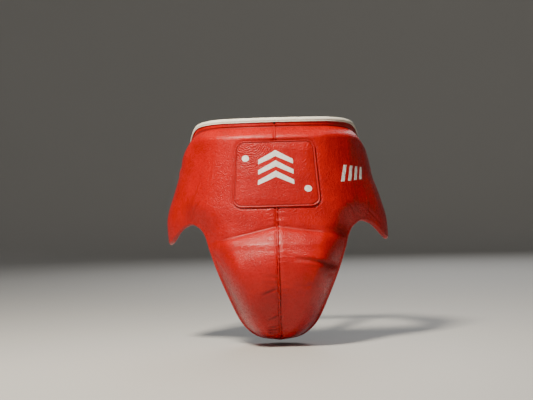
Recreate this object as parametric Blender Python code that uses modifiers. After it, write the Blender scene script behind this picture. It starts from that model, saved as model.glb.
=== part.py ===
"""A padded groin protector of the kind boxers wear: a leather front pad with hip wings and a tongue that holds
a hard cup, an elastic rear band closed by two hook-and-loop straps, and two elastic leg straps.

Frame: +Z up, the front looks along -Y, and the origin is the middle of the waist opening at the top edge.
The pad is designed as a flat pattern, u along the girth from the centre front and z the height, in millimetres.
lift() carries a pattern point onto the body form, and h is the distance outward from the wearer's side.
"""

import math

import bmesh
import bpy
import numpy as np
from mathutils import Matrix, Vector

MM = 0.001

# Body form that the pad wraps, in millimetres
WAIST_HALF_WIDTH = 128
HIP_HALF_WIDTH = 170
WAIST_HALF_DEPTH = 98
HIP_HALF_DEPTH = 112
FLARE_DROP = 200
FLARE_POWER = 1.35
SECTION_POWER = 2.3
TUCK_START = -200
TONGUE_TIP = -346
TUCK_DEPTH = 58

# Flat pattern of the front pad: control points (u, z) of one half
TOP_EDGE = [(0, 0), (60, 0), (100, 0), (140, -3), (162, -10), (182, -22), (205, -35), (232, -46), (262, -52)]
LOWER_EDGE = [
    (0, TONGUE_TIP), (25, -341), (41, -329), (53, -310), (66.5, -274), (80, -235),
    (91, -199), (101, -178), (112, -168), (123, -164), (138, -170), (150, -180),
    (163, -191), (179, -196), (196, -188), (216, -166), (240, -139), (262, -120),
]
WING_END = 262
BAND_LEVEL = -88

# Padding and leather thicknesses
LEATHER = 1.6
LINING = 1.4
PLY_GAP = 0.8
FLANGE = 4.2
FLANGE_WIDTH = 13.5
EDGE_RADIUS = 4.5
TURNED_MARGIN = 10
BELLY_PAD = 28
HIP_PAD = 15
CUP_PAD = 60
EDGE_ROUNDING = 36
TOP_ROUNDING = 20
END_ROUNDING = 44
CREASE_LEVEL = -165
CREASE_SLOPE = 0.22
CREASE_DEPTH = 8
CREASE_WIDTH = 10
SEAM_HALF_GAP = 1.7

# Cup
CUP_CENTRE = -243
CUP_HALF_WIDTH = 52
CUP_HALF_HEIGHT = 61
CUP_PEAR = 0.24
CUP_DEPTH = 38
CUP_WALL = 2.0
CUP_FLANGE = 1.13
CUP_FLANGE_LIFT = 2.9
RIM_ROLL = 4.5

# Badge patch
PATCH_HALF_WIDTH = 62
PATCH_TOP = -34
PATCH_BOTTOM = -137
PATCH_CORNER = 14
PATCH_LIFT = 2.0

# Rear closure, in the plane of the wing's end: a runs rearward and b outward
CLOSURE_HEIGHT = 50
STRAP = 2.0
ROOT_RUN = 26
ROOT_LIFT = 4.4
RING_WIRE = 2.0
RING_LENGTH = 16
RING_OPENING = 56
LOOP_CLEARANCE = 2.6
KEEPER = 1.2
BAND = 2.6
BAND_HEIGHT = 54
BACK_DEPTH = 128
HOOK = 1.2
GRIP_GAP = 0.9
TAB_START = 252
TAB_END = 222

# Leg straps
LEG_WIDTH = 25
LEG_STRAP = 1.6
SLIDER_WIDTH = 34
SLIDER_LENGTH = 24
SLIDER_HEIGHT = 8.4
SLIDER_CLEARANCE = 0.5

CLEAR = 0.35


def clip(value, low, high):
    return min(max(value, low), high)


def smooth(x):
    x = clip(x, 0, 1)
    return x * x * (3 - 2 * x)


def quarter(x):
    """A quarter sine, for the plump round-over of a stuffed edge."""
    return math.sin(math.pi / 2 * clip(x, 0, 1))


def section(theta):
    """Unit horizontal section of the body, theta 0 at the front and positive to +X."""
    power = 2 / SECTION_POWER
    s, c = math.sin(theta), math.cos(theta)
    return math.copysign(abs(s) ** power, s), -math.copysign(abs(c) ** power, c)


def flare_at(z):
    return clip(-z / FLARE_DROP, 0, 1) ** FLARE_POWER


def half_width(flare):
    return WAIST_HALF_WIDTH + (HIP_HALF_WIDTH - WAIST_HALF_WIDTH) * flare


def half_depth(flare):
    return WAIST_HALF_DEPTH + (HIP_HALF_DEPTH - WAIST_HALF_DEPTH) * flare


ANGLES = np.linspace(0, math.pi, 721)
OUTLINE = np.array([section(t) for t in ANGLES]) * (half_width(flare_at(BAND_LEVEL)), half_depth(flare_at(BAND_LEVEL)))
GIRTH = np.concatenate([[0], np.cumsum(np.linalg.norm(np.diff(OUTLINE, axis=0), axis=1))])


def angle_at(u):
    return math.copysign(float(np.interp(abs(u), GIRTH, ANGLES)), u)


def on_body(u, z):
    """The point on the wearer's side of the pad, in millimetres. The flare fades out toward the wing's end."""
    across, along = section(angle_at(u))
    settled = smooth((abs(u) - 196) / (WING_END - 196))
    flare = flare_at(z) * (1 - settled) + flare_at(BAND_LEVEL) * settled
    tuck = TUCK_DEPTH * max((TUCK_START - z) / (TUCK_START - TONGUE_TIP), 0) ** 2
    return Vector((half_width(flare) * across, half_depth(flare) * along + tuck, z))


def outward(u, z):
    girthwise = on_body(u + 1, z) - on_body(u - 1, z)
    upward = on_body(u, z + 1) - on_body(u, z - 1)
    return girthwise.cross(upward).normalized()


def lift(u, z, h):
    return (on_body(u, z) + outward(u, z) * h) * MM


def spline(points, steps=10):
    """Catmull-Rom curve through the control points, sampled."""
    pts = np.array([points[0], *points, points[-1]], float)
    curve = []
    for i in range(1, len(pts) - 2):
        a, b, c, d = pts[i - 1], pts[i], pts[i + 1], pts[i + 2]
        for k in range(steps):
            t = k / steps
            curve.append(
                0.5 * (2 * b + (c - a) * t + (2 * a - 5 * b + 4 * c - d) * t**2 + (3 * b - a - 3 * c + d) * t**3)
            )
    curve.append(pts[-1])
    return np.array(curve)


UPPER = spline(TOP_EDGE)
LOWER = spline(LOWER_EDGE)
TANGENTS = np.gradient(LOWER, axis=0)
TANGENTS[0] = (1, 0)
INWARD = np.stack([-TANGENTS[:, 1], TANGENTS[:, 0]], axis=1) / np.linalg.norm(TANGENTS, axis=1)[:, None]


def distance_to(curve, u, z):
    starts, ends = curve[:-1], curve[1:]
    along = ends - starts
    p = np.array([abs(u), z])
    t = np.clip(((p - starts) * along).sum(1) / (along * along).sum(1), 0, 1)
    return float(np.linalg.norm(starts + along * t[:, None] - p, axis=1).min())


def crease(u):
    """Height of the fold between the belly pad and the cup pad."""
    return CREASE_LEVEL - CREASE_SLOPE * abs(u)


def full_pad(u, z):
    """Thickness of the stuffed pad away from its edges."""
    base = HIP_PAD + (BELLY_PAD - HIP_PAD) * (1 - smooth((abs(u) - 70) / 80))
    below = crease(u) - z
    swell = quarter(below / 42) * (1 - 0.42 * smooth((below - 60) / 125)) * (1 - 0.7 * smooth((abs(u) - 25) / 80))
    fold = CREASE_DEPTH * math.exp(-((below / CREASE_WIDTH) ** 2)) * (1 - smooth((abs(u) - 60) / 60))
    return base + max(CUP_PAD - base, 0) * swell - fold


def pad(u, z):
    """Thickness of the whole pad, leather to lining, thin at the top flange and rounded at every edge."""
    low = distance_to(LOWER, u, z)
    top = distance_to(UPPER, u, z)
    end = WING_END - abs(u)
    thin = FLANGE + (2 * EDGE_RADIUS - FLANGE) * smooth((top - FLANGE_WIDTH) / 30) * smooth((end - 12) / 30)
    fullness = quarter((low - EDGE_RADIUS) / EDGE_ROUNDING)
    fullness *= quarter((top - FLANGE_WIDTH) / TOP_ROUNDING) * quarter((end - 10) / END_ROUNDING)
    return thin + (full_pad(u, z) - thin) * fullness


def on_curve(curve, s):
    """Point of a sampled curve at u = s times the wing's end, by index along the curve."""
    index = np.arange(len(curve))
    return tuple(float(np.interp(s * (len(curve) - 1), index, curve[:, k])) for k in (0, 1))


def inset_lower(s, distance):
    u, z = on_curve(LOWER, s)
    mu, mz = on_curve(INWARD, s)
    return u + mu * distance, z + mz * distance


def upper_height(u):
    return float(np.interp(abs(u), UPPER[:, 0], UPPER[:, 1]))


# Columns of the pattern by their share of the lower edge's length, closer together at the wing's end
COLUMN_STATIONS = [0.935 * k / 16 for k in range(17)] + [0.973, 0.989]
MIRRORED_STATIONS = [-s for s in reversed(COLUMN_STATIONS[1:])] + COLUMN_STATIONS
END_U = on_curve(LOWER, COLUMN_STATIONS[-1])[0]


def station(stations, share):
    return stations[round(share * (len(stations) - 1))]


def top_of(s):
    """Girth of a column's top: spread evenly along the waist, upright toward the wing's end."""
    low_u = on_curve(LOWER, abs(s))[0]
    return low_u + (abs(s) * WING_END - low_u) * (1 - smooth((abs(s) - 0.8) / 0.13))


def steepness(u, z):
    """How much longer a slanted pad surface is than its footprint."""
    across = (pad(u + 1, z) - pad(u - 1, z)) / 2
    upward = (pad(u, z + 1) - pad(u, z - 1)) / 2
    return min(math.sqrt(1 + across**2 + upward**2), 3)


def eased(t):
    """Spreads rows toward both ends of a run."""
    return 0.5 * t + 0.5 * (0.5 - 0.5 * math.cos(math.pi * t))


# ---- materials and collections ----------------------------------------------------------------------------


def finish(name, colour, roughness, metallic=0.0):
    material = bpy.data.materials.new(name)
    material.use_nodes = True
    shader = material.node_tree.nodes["Principled BSDF"]
    shader.inputs["Base Color"].default_value = (*colour, 1)
    shader.inputs["Roughness"].default_value = roughness
    shader.inputs["Metallic"].default_value = metallic
    return material


def link(name, mesh, material, collection):
    obj = bpy.data.objects.new(name, mesh)
    obj.data.materials.append(material)
    collection.objects.link(obj)
    return obj


def grid_mesh(name, columns, rows, place):
    """A primitive grid carried onto place(a, b), a and b from 0 to 1, facing outward."""
    bm = bmesh.new()
    bmesh.ops.create_grid(bm, x_segments=columns, y_segments=rows, size=1)
    for vert in bm.verts:
        vert.co = place((vert.co.x + 1) / 2, (vert.co.y + 1) / 2)
    mesh = bpy.data.meshes.new(name)
    bm.to_mesh(mesh)
    bm.free()
    mesh.shade_smooth()
    return mesh


def sheet(name, columns, rows, place, thickness, material, collection, side=1):
    """A leather or fabric ply: a grid surface with its thickness to the side that offset gives."""
    obj = link(name, grid_mesh(name, columns, rows, place), material, collection)
    ply = obj.modifiers.new("ply", "SOLIDIFY")
    ply.thickness = thickness * MM
    ply.offset = side
    return obj


def face_out(bm):
    """Turns a closed solid's faces outward."""
    bmesh.ops.recalc_face_normals(bm, faces=bm.faces)
    if bm.calc_volume(signed=True) < 0:
        bmesh.ops.reverse_faces(bm, faces=bm.faces)


def block(name, columns, rows, flat, low, high, material, collection):
    """A foam block between two heights over a flat region: the low face is extruded to the high one."""
    bm = bmesh.new()
    bmesh.ops.create_grid(bm, x_segments=columns, y_segments=rows, size=1)
    base = [flat((v.co.x + 1) / 2, (v.co.y + 1) / 2) for v in bm.verts]
    made = bmesh.ops.extrude_face_region(bm, geom=bm.faces[:], use_keep_orig=True)
    raised = [g for g in made["geom"] if isinstance(g, bmesh.types.BMVert)]
    for vert in raised:
        u, z = flat((vert.co.x + 1) / 2, (vert.co.y + 1) / 2)
        vert.co = lift(u, z, high(u, z))
    bm.verts.ensure_lookup_table()
    for vert, (u, z) in zip(bm.verts[: len(base)], base, strict=True):
        vert.co = lift(u, z, low(u, z))
    face_out(bm)
    mesh = bpy.data.meshes.new(name)
    bm.to_mesh(mesh)
    bm.free()
    mesh.shade_smooth()
    return link(name, mesh, material, collection)


def tube(name, points, radius, material, collection, cyclic=False, sides=2):
    """A round cord or wire along points, in metres."""
    curve = bpy.data.curves.new(name, "CURVE")
    curve.dimensions = "3D"
    curve.bevel_depth = radius * MM
    curve.bevel_resolution = sides
    curve.use_fill_caps = True
    run = curve.splines.new("POLY")
    run.points.add(len(points) - 1)
    for spot, point in zip(run.points, points, strict=True):
        spot.co = (*point, 1)
    run.use_cyclic_u = cyclic
    return link(name, curve, material, collection)


def box(name, centre, size, turn, material, collection):
    """A box primitive of that size, turned by a rotation matrix about its centre."""
    bm = bmesh.new()
    bmesh.ops.create_cube(bm, size=1)
    for vert in bm.verts:
        vert.co = Vector(centre) + turn @ Vector([c * s for c, s in zip(vert.co, size, strict=True)])
    face_out(bm)
    mesh = bpy.data.meshes.new(name)
    bm.to_mesh(mesh)
    bm.free()
    return link(name, mesh, material, collection)


def cut(obj, cutter):
    cutter.hide_render = True
    cutter.display_type = "WIRE"
    modifier = obj.modifiers.new("cut", "BOOLEAN")
    modifier.operation = "DIFFERENCE"
    modifier.object = cutter


# ---- front pad --------------------------------------------------------------------------------------------

WRAP = [(TURNED_MARGIN, 0.0), (EDGE_RADIUS, 0.0)] + [
    (EDGE_RADIUS * (1 - math.sin(turn)), EDGE_RADIUS * (1 + math.cos(turn)))
    for turn in (math.pi * 3 / 4, math.pi / 2, math.pi / 4)
]
LOW_ROWS = (0, 5, 13, 26)
CREASE_ROWS = (-44, -28, -14, -5, 4, 15)
TOP_ROWS = (16, 8, 3, 0)


def panel_rows(u, bottom, top):
    """Heights of one column's rows: close at the lower edge, at the crease and at the top flange."""
    edge, fold = min((top - bottom) / 150, 1), clip((top - bottom - 60) / 270, 0.05, 1)
    low = [bottom + d * edge for d in LOW_ROWS]
    high = [top - FLANGE_WIDTH - d * edge for d in TOP_ROWS] + [top]
    centre = clip(crease(u), low[-1] + 48 * fold, high[0] - 20 * fold)
    middle = [centre + d * fold for d in CREASE_ROWS]
    below = [low[-1] + (middle[0] - low[-1]) * k / 4 for k in (1, 2, 3)]
    above = [(middle[-1] + high[0]) / 2]
    return low + below + middle + above + high


PANEL_ROWS = len(WRAP) + len(panel_rows(0, TONGUE_TIP, 0))


def make_front_panels(material, collection):
    """Left and right leather panels. Each turns round the lower edge and ends on the wearer's side."""
    for name, side in (("front_panel_right", 1), ("front_panel_left", -1)):

        def place(a, b, side=side):
            s = station(COLUMN_STATIONS, a if side > 0 else 1 - a)
            row = round(b * (PANEL_ROWS - 1))
            if row < len(WRAP):
                inset, height = WRAP[row]
                u, z = inset_lower(s, inset)
                return lift(side * max(u, SEAM_HALF_GAP), z, height)
            low_u, low_z = inset_lower(s, EDGE_RADIUS)
            top_u = top_of(s)
            z = panel_rows(low_u, low_z, upper_height(top_u))[row - len(WRAP)]
            t = (z - low_z) / (upper_height(top_u) - low_z)
            u = max(low_u + (top_u - low_u) * t, SEAM_HALF_GAP)
            return lift(side * u, z, pad(u, z))

        columns = len(COLUMN_STATIONS) - 1
        sheet(name, columns, PANEL_ROWS - 1, place, LEATHER, material, collection, side=-1)


def make_lining(material, collection, cutters):
    """The lining on the wearer's side, in two halves that meet at the centre, cut out over the cup."""
    plug = cup_mesh("lining_cutter", 0.88, lambda z: 0.6 + 20 * z, flange=None, closed=True)
    cutter = link("lining_cutter", plug, material, cutters)
    for name, side in (("lining_right", 1), ("lining_left", -1)):

        def place(a, b, side=side):
            s = station(COLUMN_STATIONS, a if side > 0 else 1 - a)
            low_u, low_z = inset_lower(s, TURNED_MARGIN + CLEAR + 0.3)
            top_u = top_of(s)
            t = eased(b)
            u = max(low_u + (top_u - low_u) * t, CLEAR / 2)
            z = low_z + (upper_height(top_u) - low_z) * t
            return lift(side * u, z, 0)

        half = sheet(name, len(COLUMN_STATIONS) - 1, 11, place, LINING, material, collection)
        cut(half, cutter)


def make_foam(material, collection):
    """Belly pad, cup pad and two hip pads, each a separate block of foam."""
    top_margin = FLANGE_WIDTH + 4
    lower = np.array([inset_lower(s, EDGE_RADIUS + 2.5) for s in np.linspace(0, 1, 120)])

    def floor_at(u):
        return float(np.interp(abs(u), lower[:, 0], lower[:, 1]))

    def low(_u, _z):
        return LINING + PLY_GAP

    def high(u, z):
        return max(pad(u, z) - (LEATHER + 2.2) * steepness(u, z) - 2.6, LINING + PLY_GAP + 0.8)

    def over_cup(u, z):
        y = (z - CUP_CENTRE) / CUP_HALF_HEIGHT
        x = u / (CUP_HALF_WIDTH * (1 + CUP_PEAR * clip(y, -1.5, 1.5)))
        reach = math.hypot(x, y) / 1.24
        dome = (CUP_DEPTH + 5) * math.sqrt(max(1 - reach**2, 0))
        return low(u, z) + dome

    belly_half, cup_half, hip_start = 108, 84, 110

    def belly(a, b):
        u = (2 * a - 1) * belly_half
        bottom = max(crease(u) + 1.5, floor_at(u))
        return u, bottom + (upper_height(u) - top_margin - bottom) * b

    block("belly_foam", 18, 11, belly, low, high, material, collection)

    def cup(a, b):
        u = (2 * a - 1) * cup_half
        bottom = floor_at(u)
        return u, bottom + (crease(u) - 1.5 - bottom) * b

    block("cup_foam", 20, 16, cup, over_cup, high, material, collection)

    for name, side in (("hip_foam_right", 1), ("hip_foam_left", -1)):

        def hip(a, b, side=side):
            u = hip_start + (WING_END - 22 - hip_start) * (a if side > 0 else 1 - a)
            bottom = floor_at(u) + 1
            return side * u, bottom + (upper_height(u) - top_margin - bottom) * b

        block(name, 12, 7, hip, low, high, material, collection)


def make_bindings(white, red, collection):
    """The white binding folded over the top edge and the leather caps over the wings' ends."""
    outer, inner, overlap = FLANGE + CLEAR + 0.5, -CLEAR - 0.5, 7
    fold = [(-overlap, outer), (0.3, outer), (1.2, (outer + inner) / 2), (0.3, inner), (-overlap, inner)]

    def top(a, b):
        s = station(MIRRORED_STATIONS[1:-1], a)
        u = math.copysign(top_of(s), s)
        rise, height = fold[round((1 - b) * (len(fold) - 1))]
        return lift(u, upper_height(u) + rise, height)

    sheet("waist_binding", len(MIRRORED_STATIONS) - 3, len(fold) - 1, top, 0.9, white, collection, side=0)

    for name, side in (("wing_end_cap_right", 1), ("wing_end_cap_left", -1)):

        def end(a, b, side=side):
            rise, height = fold[round((a if side < 0 else 1 - a) * (len(fold) - 1))]
            return lift(side * (END_U + 1.2 + rise), -116 + 55 * b, height)

        sheet(name, len(fold) - 1, 6, end, 0.9, red, collection, side=0)


def make_centre_welt(material, collection):
    """The piped seam down the centre front, between the two panels."""
    heights = [-12 + (TONGUE_TIP + 10 + 12) * eased(i / 34) for i in range(35)]
    tube("centre_welt", [lift(0, z, pad(0, z) + 0.2) for z in heights], 1.2, material, collection, sides=1)


def rounded_corners(reach, top, bottom, radius, steps):
    """Outline of the badge patch, anticlockwise from the lower right corner."""
    outline = []
    corners = [
        (reach - radius, bottom + radius, -math.pi / 2),
        (reach - radius, top - radius, 0),
        (-reach + radius, top - radius, math.pi / 2),
        (-reach + radius, bottom + radius, math.pi),
    ]
    for u, z, start in corners:
        for k in range(steps + 1):
            turn = start + math.pi / 2 * k / steps
            outline.append((u + radius * math.cos(turn), z + radius * math.sin(turn)))
    return outline


def make_patch(material, collection):
    """The rounded badge patch on the belly and the rolled piping round it."""

    def place(a, b):
        z = PATCH_BOTTOM + (PATCH_TOP - PATCH_BOTTOM) * b
        inset = PATCH_CORNER - min(z - PATCH_BOTTOM, PATCH_TOP - z, PATCH_CORNER)
        half = PATCH_HALF_WIDTH - PATCH_CORNER + math.sqrt(max(PATCH_CORNER**2 - inset**2, 0))
        u = (2 * a - 1) * half
        return lift(u, z, pad(u, z) + PATCH_LIFT)

    def eased_rows(a, b):
        return place(a, 0.5 - 0.5 * math.cos(math.pi * b))

    sheet("badge_patch", 16, 12, eased_rows, 1.3, material, collection)
    outline = rounded_corners(PATCH_HALF_WIDTH + 1.9, PATCH_TOP + 1.9, PATCH_BOTTOM - 1.9, PATCH_CORNER + 1.9, 4)
    dense = []
    for (u0, z0), (u1, z1) in zip(outline, outline[1:] + outline[:1], strict=True):
        parts = max(1, round(math.hypot(u1 - u0, z1 - z0) / 12))
        dense += [(u0 + (u1 - u0) * k / parts, z0 + (z1 - z0) * k / parts) for k in range(parts)]
    points = [lift(u, z, pad(u, z) + PATCH_LIFT + 1) for u, z in dense]
    tube("badge_piping", points, 1.3, material, collection, cyclic=True, sides=1)


# ---- cup --------------------------------------------------------------------------------------------------


def cup_spot(x, y):
    """Pattern point of the pear-shaped cup outline, from a point of the unit disc."""
    return CUP_HALF_WIDTH * x * (1 + CUP_PEAR * y), CUP_CENTRE + CUP_HALF_HEIGHT * y


def cup_mesh(name, scale, height, flange, closed=False):
    """Half a sphere carried onto the cup's outline, with an optional flange round its rim."""
    bm = bmesh.new()
    bmesh.ops.create_uvsphere(bm, u_segments=24, v_segments=12, radius=1)
    geometry = bm.verts[:] + bm.edges[:] + bm.faces[:]
    if not closed:
        bmesh.ops.bisect_plane(bm, geom=geometry, plane_co=(0, 0, 0), plane_no=(0, 0, 1), clear_inner=True)
    rim = [edge for edge in bm.edges if edge.is_boundary]
    spots = {vert: (vert.co.x * scale, vert.co.y * scale, vert.co.z) for vert in bm.verts}
    if flange:
        made = bmesh.ops.extrude_edge_only(bm, edges=rim)
        for vert in [g for g in made["geom"] if isinstance(g, bmesh.types.BMVert)]:
            spots[vert] = (vert.co.x * flange, vert.co.y * flange, 0)
    for vert, (x, y, z) in spots.items():
        vert.co = lift(*cup_spot(x, y), height(z))
    face_out(bm)
    if not closed and min(bm.faces, key=lambda face: face.calc_center_median().y).normal.y > 0:
        bmesh.ops.reverse_faces(bm, faces=bm.faces)
    mesh = bpy.data.meshes.new(name)
    bm.to_mesh(mesh)
    bm.free()
    mesh.shade_smooth()
    return mesh


def make_cup(shell_material, liner_material, roll_material, collection):
    """The hard cup with its flange, the liner inside it and the padded roll round its rim."""
    shell = cup_mesh("cup_shell", 1, lambda z: CUP_FLANGE_LIFT + CUP_DEPTH * z, CUP_FLANGE)
    cup = link("cup_shell", shell, shell_material, collection)
    wall = cup.modifiers.new("wall", "SOLIDIFY")
    wall.thickness = CUP_WALL * MM
    wall.offset = 1
    inside = cup_mesh("cup_liner", 0.965, lambda z: CUP_FLANGE_LIFT + 0.2 + (CUP_DEPTH - 1.2) * z, None)
    liner = link("cup_liner", inside, liner_material, collection)
    ply = liner.modifiers.new("ply", "SOLIDIFY")
    ply.thickness = 0.8 * MM
    ply.offset = -1
    ring = [2 * math.pi * k / 30 for k in range(30)]
    points = [lift(*cup_spot(1.02 * math.sin(t), 1.02 * math.cos(t)), -RIM_ROLL - 2.6) for t in ring]
    tube("cup_rim_roll", points, RIM_ROLL, roll_material, collection, cyclic=True)


# ---- rear closure -----------------------------------------------------------------------------------------


class EndPlane:
    """The upright plane tangent to one wing's end: a runs rearward along it, b outward from it."""

    def __init__(self, side):
        self.side = side
        self.origin = on_body(side * WING_END, BAND_LEVEL)
        ahead = on_body(side * (WING_END + 1), BAND_LEVEL) - on_body(side * (WING_END - 1), BAND_LEVEL)
        self.rearward = ahead.normalized()
        self.outward = Vector((self.rearward.y, -self.rearward.x, 0)) * side

    def at(self, a, b, z=BAND_LEVEL):
        spot = self.origin + self.rearward * a + self.outward * b
        return Vector((spot.x, spot.y, z)) * MM


def half_turn(centre, radius, start, steps=8):
    """Points of a half circle in the a, b plane."""
    turns = [start + math.pi * k / steps for k in range(steps + 1)]
    return [(centre[0] + radius * math.cos(t), centre[1] + radius * math.sin(t)) for t in turns]


def ribbon(name, path, height, thickness, material, collection, side):
    """A strap standing on edge: plan points swept over its height and given its thickness."""

    def place(a, b):
        spot = path[round(a * (len(path) - 1))]
        return Vector((spot.x, spot.y, (BAND_LEVEL + (b - 0.5) * height) * MM))

    return sheet(name, len(path) - 1, 1, place, thickness, material, collection, side=0)


FRONT_BAR = ROOT_RUN
REAR_BAR = ROOT_RUN + RING_LENGTH
BAR_LIFT = ROOT_LIFT + STRAP / 2 + RING_WIRE + LOOP_CLEARANCE
FOLD_RADIUS = RING_WIRE + LOOP_CLEARANCE + STRAP / 2
FOLD_END_LIFT = BAR_LIFT + FOLD_RADIUS


def over_wing(side, u, z, stack):
    """A point that far above the wing's leather. Past the loop field it keeps the field's height."""
    held = min(u, TAB_START - 6)
    return lift(side * u, z, pad(held, z) + stack)


def make_closure(side, word, leather, metal, webbing, hook, loop, collection):
    plane = EndPlane(side)
    fold = half_turn((FRONT_BAR, BAR_LIFT), FOLD_RADIUS, -math.pi / 2)
    root = [plane.at(a, ROOT_LIFT) for a in (0.6, 14)] + [plane.at(a, b) for a, b in fold]
    strap = ribbon(f"closure_strap_{word}", root, CLOSURE_HEIGHT, STRAP, leather, collection, side)
    strap.modifiers["ply"].use_even_offset = True
    free_run = (FRONT_BAR - CLEAR, 17, 8)
    stack = GRIP_GAP + HOOK + CLEAR + HOOK + GRIP_GAP + STRAP / 2
    grip_run = [TAB_END + 2 + (TAB_START - 8 - TAB_END) * k / 5 for k in range(6)]
    laid_run = [TAB_START - 2, *reversed(grip_run), TAB_END]

    def tab_spot(a, b):
        k = round(a * (len(free_run) + len(laid_run) - 1))
        z = BAND_LEVEL + (b - 0.5) * CLOSURE_HEIGHT
        if k < len(free_run):
            return plane.at(free_run[k], FOLD_END_LIFT, z)
        return over_wing(side, laid_run[k - len(free_run)], z, stack)

    columns = len(free_run) + len(laid_run) - 1
    sheet(f"closure_tab_{word}", columns, 4, tab_spot, STRAP, leather, collection, side=0)

    for kind, stack, material in (
        ("loop_field", GRIP_GAP + HOOK / 2, loop),
        ("hook_patch", GRIP_GAP + HOOK + CLEAR + HOOK / 2, hook),
    ):

        def grip_spot(a, b, stack=stack):
            z = BAND_LEVEL + (b - 0.5) * (CLOSURE_HEIGHT - 6)
            return over_wing(side, station(grip_run, a), z, stack)

        sheet(f"{kind}_{word}", len(grip_run) - 1, 4, grip_spot, HOOK, material, collection, side=0)

    corner = 3
    tall = RING_OPENING / 2 + RING_WIRE
    frame = []
    for a, z, turn in (
        (REAR_BAR - corner, tall - corner, 0),
        (FRONT_BAR + corner, tall - corner, math.pi / 2),
        (FRONT_BAR + corner, corner - tall, math.pi),
        (REAR_BAR - corner, corner - tall, math.pi * 3 / 2),
    ):
        for k in range(4):
            angle = turn + math.pi / 2 * k / 3
            frame.append(
                plane.at(a + corner * math.cos(angle), BAR_LIFT, BAND_LEVEL + z + corner * math.sin(angle))
            )
    tube(f"ring_{word}", frame, RING_WIRE, metal, collection, cyclic=True)

    leg = RING_WIRE + CLEAR + KEEPER / 2
    bend = half_turn((REAR_BAR, BAR_LIFT), leg, math.pi / 2)
    wrap = [plane.at(REAR_BAR + 16, BAR_LIFT + leg)]
    wrap += [plane.at(a, b) for a, b in bend]
    wrap += [plane.at(REAR_BAR + 16, BAR_LIFT - leg)]
    keeper = ribbon(f"ring_keeper_{word}", wrap, BAND_HEIGHT - 2, KEEPER, webbing, collection, side)
    keeper.modifiers["ply"].use_even_offset = True


def band_path():
    """Plan line of the rear band, from one ring keeper round the back to the other."""
    right, left = EndPlane(1), EndPlane(-1)
    first, second = right.at(REAR_BAR + 4, BAR_LIFT), right.at(REAR_BAR + 17, BAR_LIFT)
    back = Vector((0, BACK_DEPTH, BAND_LEVEL)) * MM
    handle_in = second + right.rearward * 22 * MM
    handle_out = back + Vector((48, 0, 0)) * MM
    half = [first]
    for k in range(9):
        t = k / 8
        half.append(
            second * (1 - t) ** 3 + handle_in * 3 * t * (1 - t) ** 2 + handle_out * 3 * t**2 * (1 - t) + back * t**3
        )
    return half + [Vector((-p.x, p.y, p.z)) for p in reversed(half[:-1])]


# ---- leg straps -------------------------------------------------------------------------------------------


def band_spot(side, x):
    """Point and rearward direction of the rear band's line at that distance from the middle."""
    path = sorted(band_path(), key=lambda p: p.x)
    xs = [p.x for p in path]
    ys = [p.y for p in path]
    y = float(np.interp(side * x * MM, xs, ys))
    slope = (float(np.interp((side * x + 6) * MM, xs, ys)) - float(np.interp((side * x - 6) * MM, xs, ys))) / (12 * MM)
    return Vector((side * x * MM, y, 0)), Vector((1, slope, 0)).normalized()


def leg_edges(side):
    """Left and right edge points of a leg strap: stitched to the tongue, a straight run, stitched to the band."""
    half = Vector((LEG_WIDTH / 2, 0, 0)) * MM
    depth = -CLEAR - LEG_STRAP / 2 - 0.3
    sewn = [(lift(side * 19 - 12.5, z, depth), lift(side * 19 + 12.5, z, depth)) for z in (-332, -325, -318)]
    middle = (sewn[-1][0] + sewn[-1][1]) / 2
    spot, along = band_spot(side, 56)
    inner = Vector((along.y, -along.x, 0)) * (BAND / 2 + CLEAR + LEG_STRAP / 2 + 0.5) * MM
    hung = [spot + inner + Vector((0, 0, z)) * MM for z in (-121, -111, -84)]
    low_bend = middle + Vector((0, 9, 11)) * MM
    high_bend = hung[0] + Vector((0, -8, -10)) * MM
    direction = (high_bend - low_bend).normalized()
    start, stop = low_bend + direction * 8 * MM, high_bend - direction * 8 * MM
    run = [middle + Vector((0, 1.5, 6)) * MM, low_bend + direction * MM, start, stop]
    across = (half - direction * half.dot(direction)).normalized() * half.length
    edges = sewn + [(p - half, p + half) for p in run[:1]] + [(p - across, p + across) for p in run[1:]]
    turned = along * half.length
    for p, turn in ((high_bend - direction * MM, 0.45), (hung[0] + Vector((0, -1, -5)) * MM, 0.9)):
        wide = across.lerp(turned, turn).normalized() * half.length
        edges.append((p - wide, p + wide))
    edges += [(p - turned, p + turned) for p in hung]
    return edges, start, stop, across.normalized()


def make_leg_strap(side, word, elastic, plastic, collection, cutters):
    edges, start, stop, across = leg_edges(side)
    direction = (stop - start).normalized()
    facing = across.cross(direction)

    def place(a, b):
        return edges[round(b * (len(edges) - 1))][round(a)]

    sheet(f"leg_strap_{word}", 1, len(edges) - 1, place, LEG_STRAP, elastic, collection, side=0)

    from_start = 70 * MM
    centre = start + direction * from_start
    turn = Matrix((across, direction, facing)).transposed()
    body = box(
        f"leg_slider_{word}",
        centre,
        (SLIDER_WIDTH * MM, SLIDER_LENGTH * MM, SLIDER_HEIGHT * MM),
        turn,
        plastic,
        collection,
    )
    slot_high = LEG_STRAP + 2 * SLIDER_CLEARANCE
    slot_wide = LEG_WIDTH + 2 * SLIDER_CLEARANCE
    past = 2
    cavities = [
        (0, 0, slot_wide, SLIDER_LENGTH + past, slot_high),
        (0, SLIDER_HEIGHT / 2, slot_wide - 1, SLIDER_LENGTH - 12, SLIDER_HEIGHT),
        (-9, -SLIDER_HEIGHT / 2, slot_wide - 1, 12, SLIDER_HEIGHT),
        (9, -SLIDER_HEIGHT / 2, slot_wide - 1, 12, SLIDER_HEIGHT),
    ]
    for k, (along, up, wide, long, high) in enumerate(cavities):
        spot = centre + (direction * along + facing * up) * MM
        size = (wide * MM, long * MM, high * MM)
        cut(body, box(f"slider_cutter_{word}_{k}", spot, size, turn, plastic, cutters))
    return body


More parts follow.
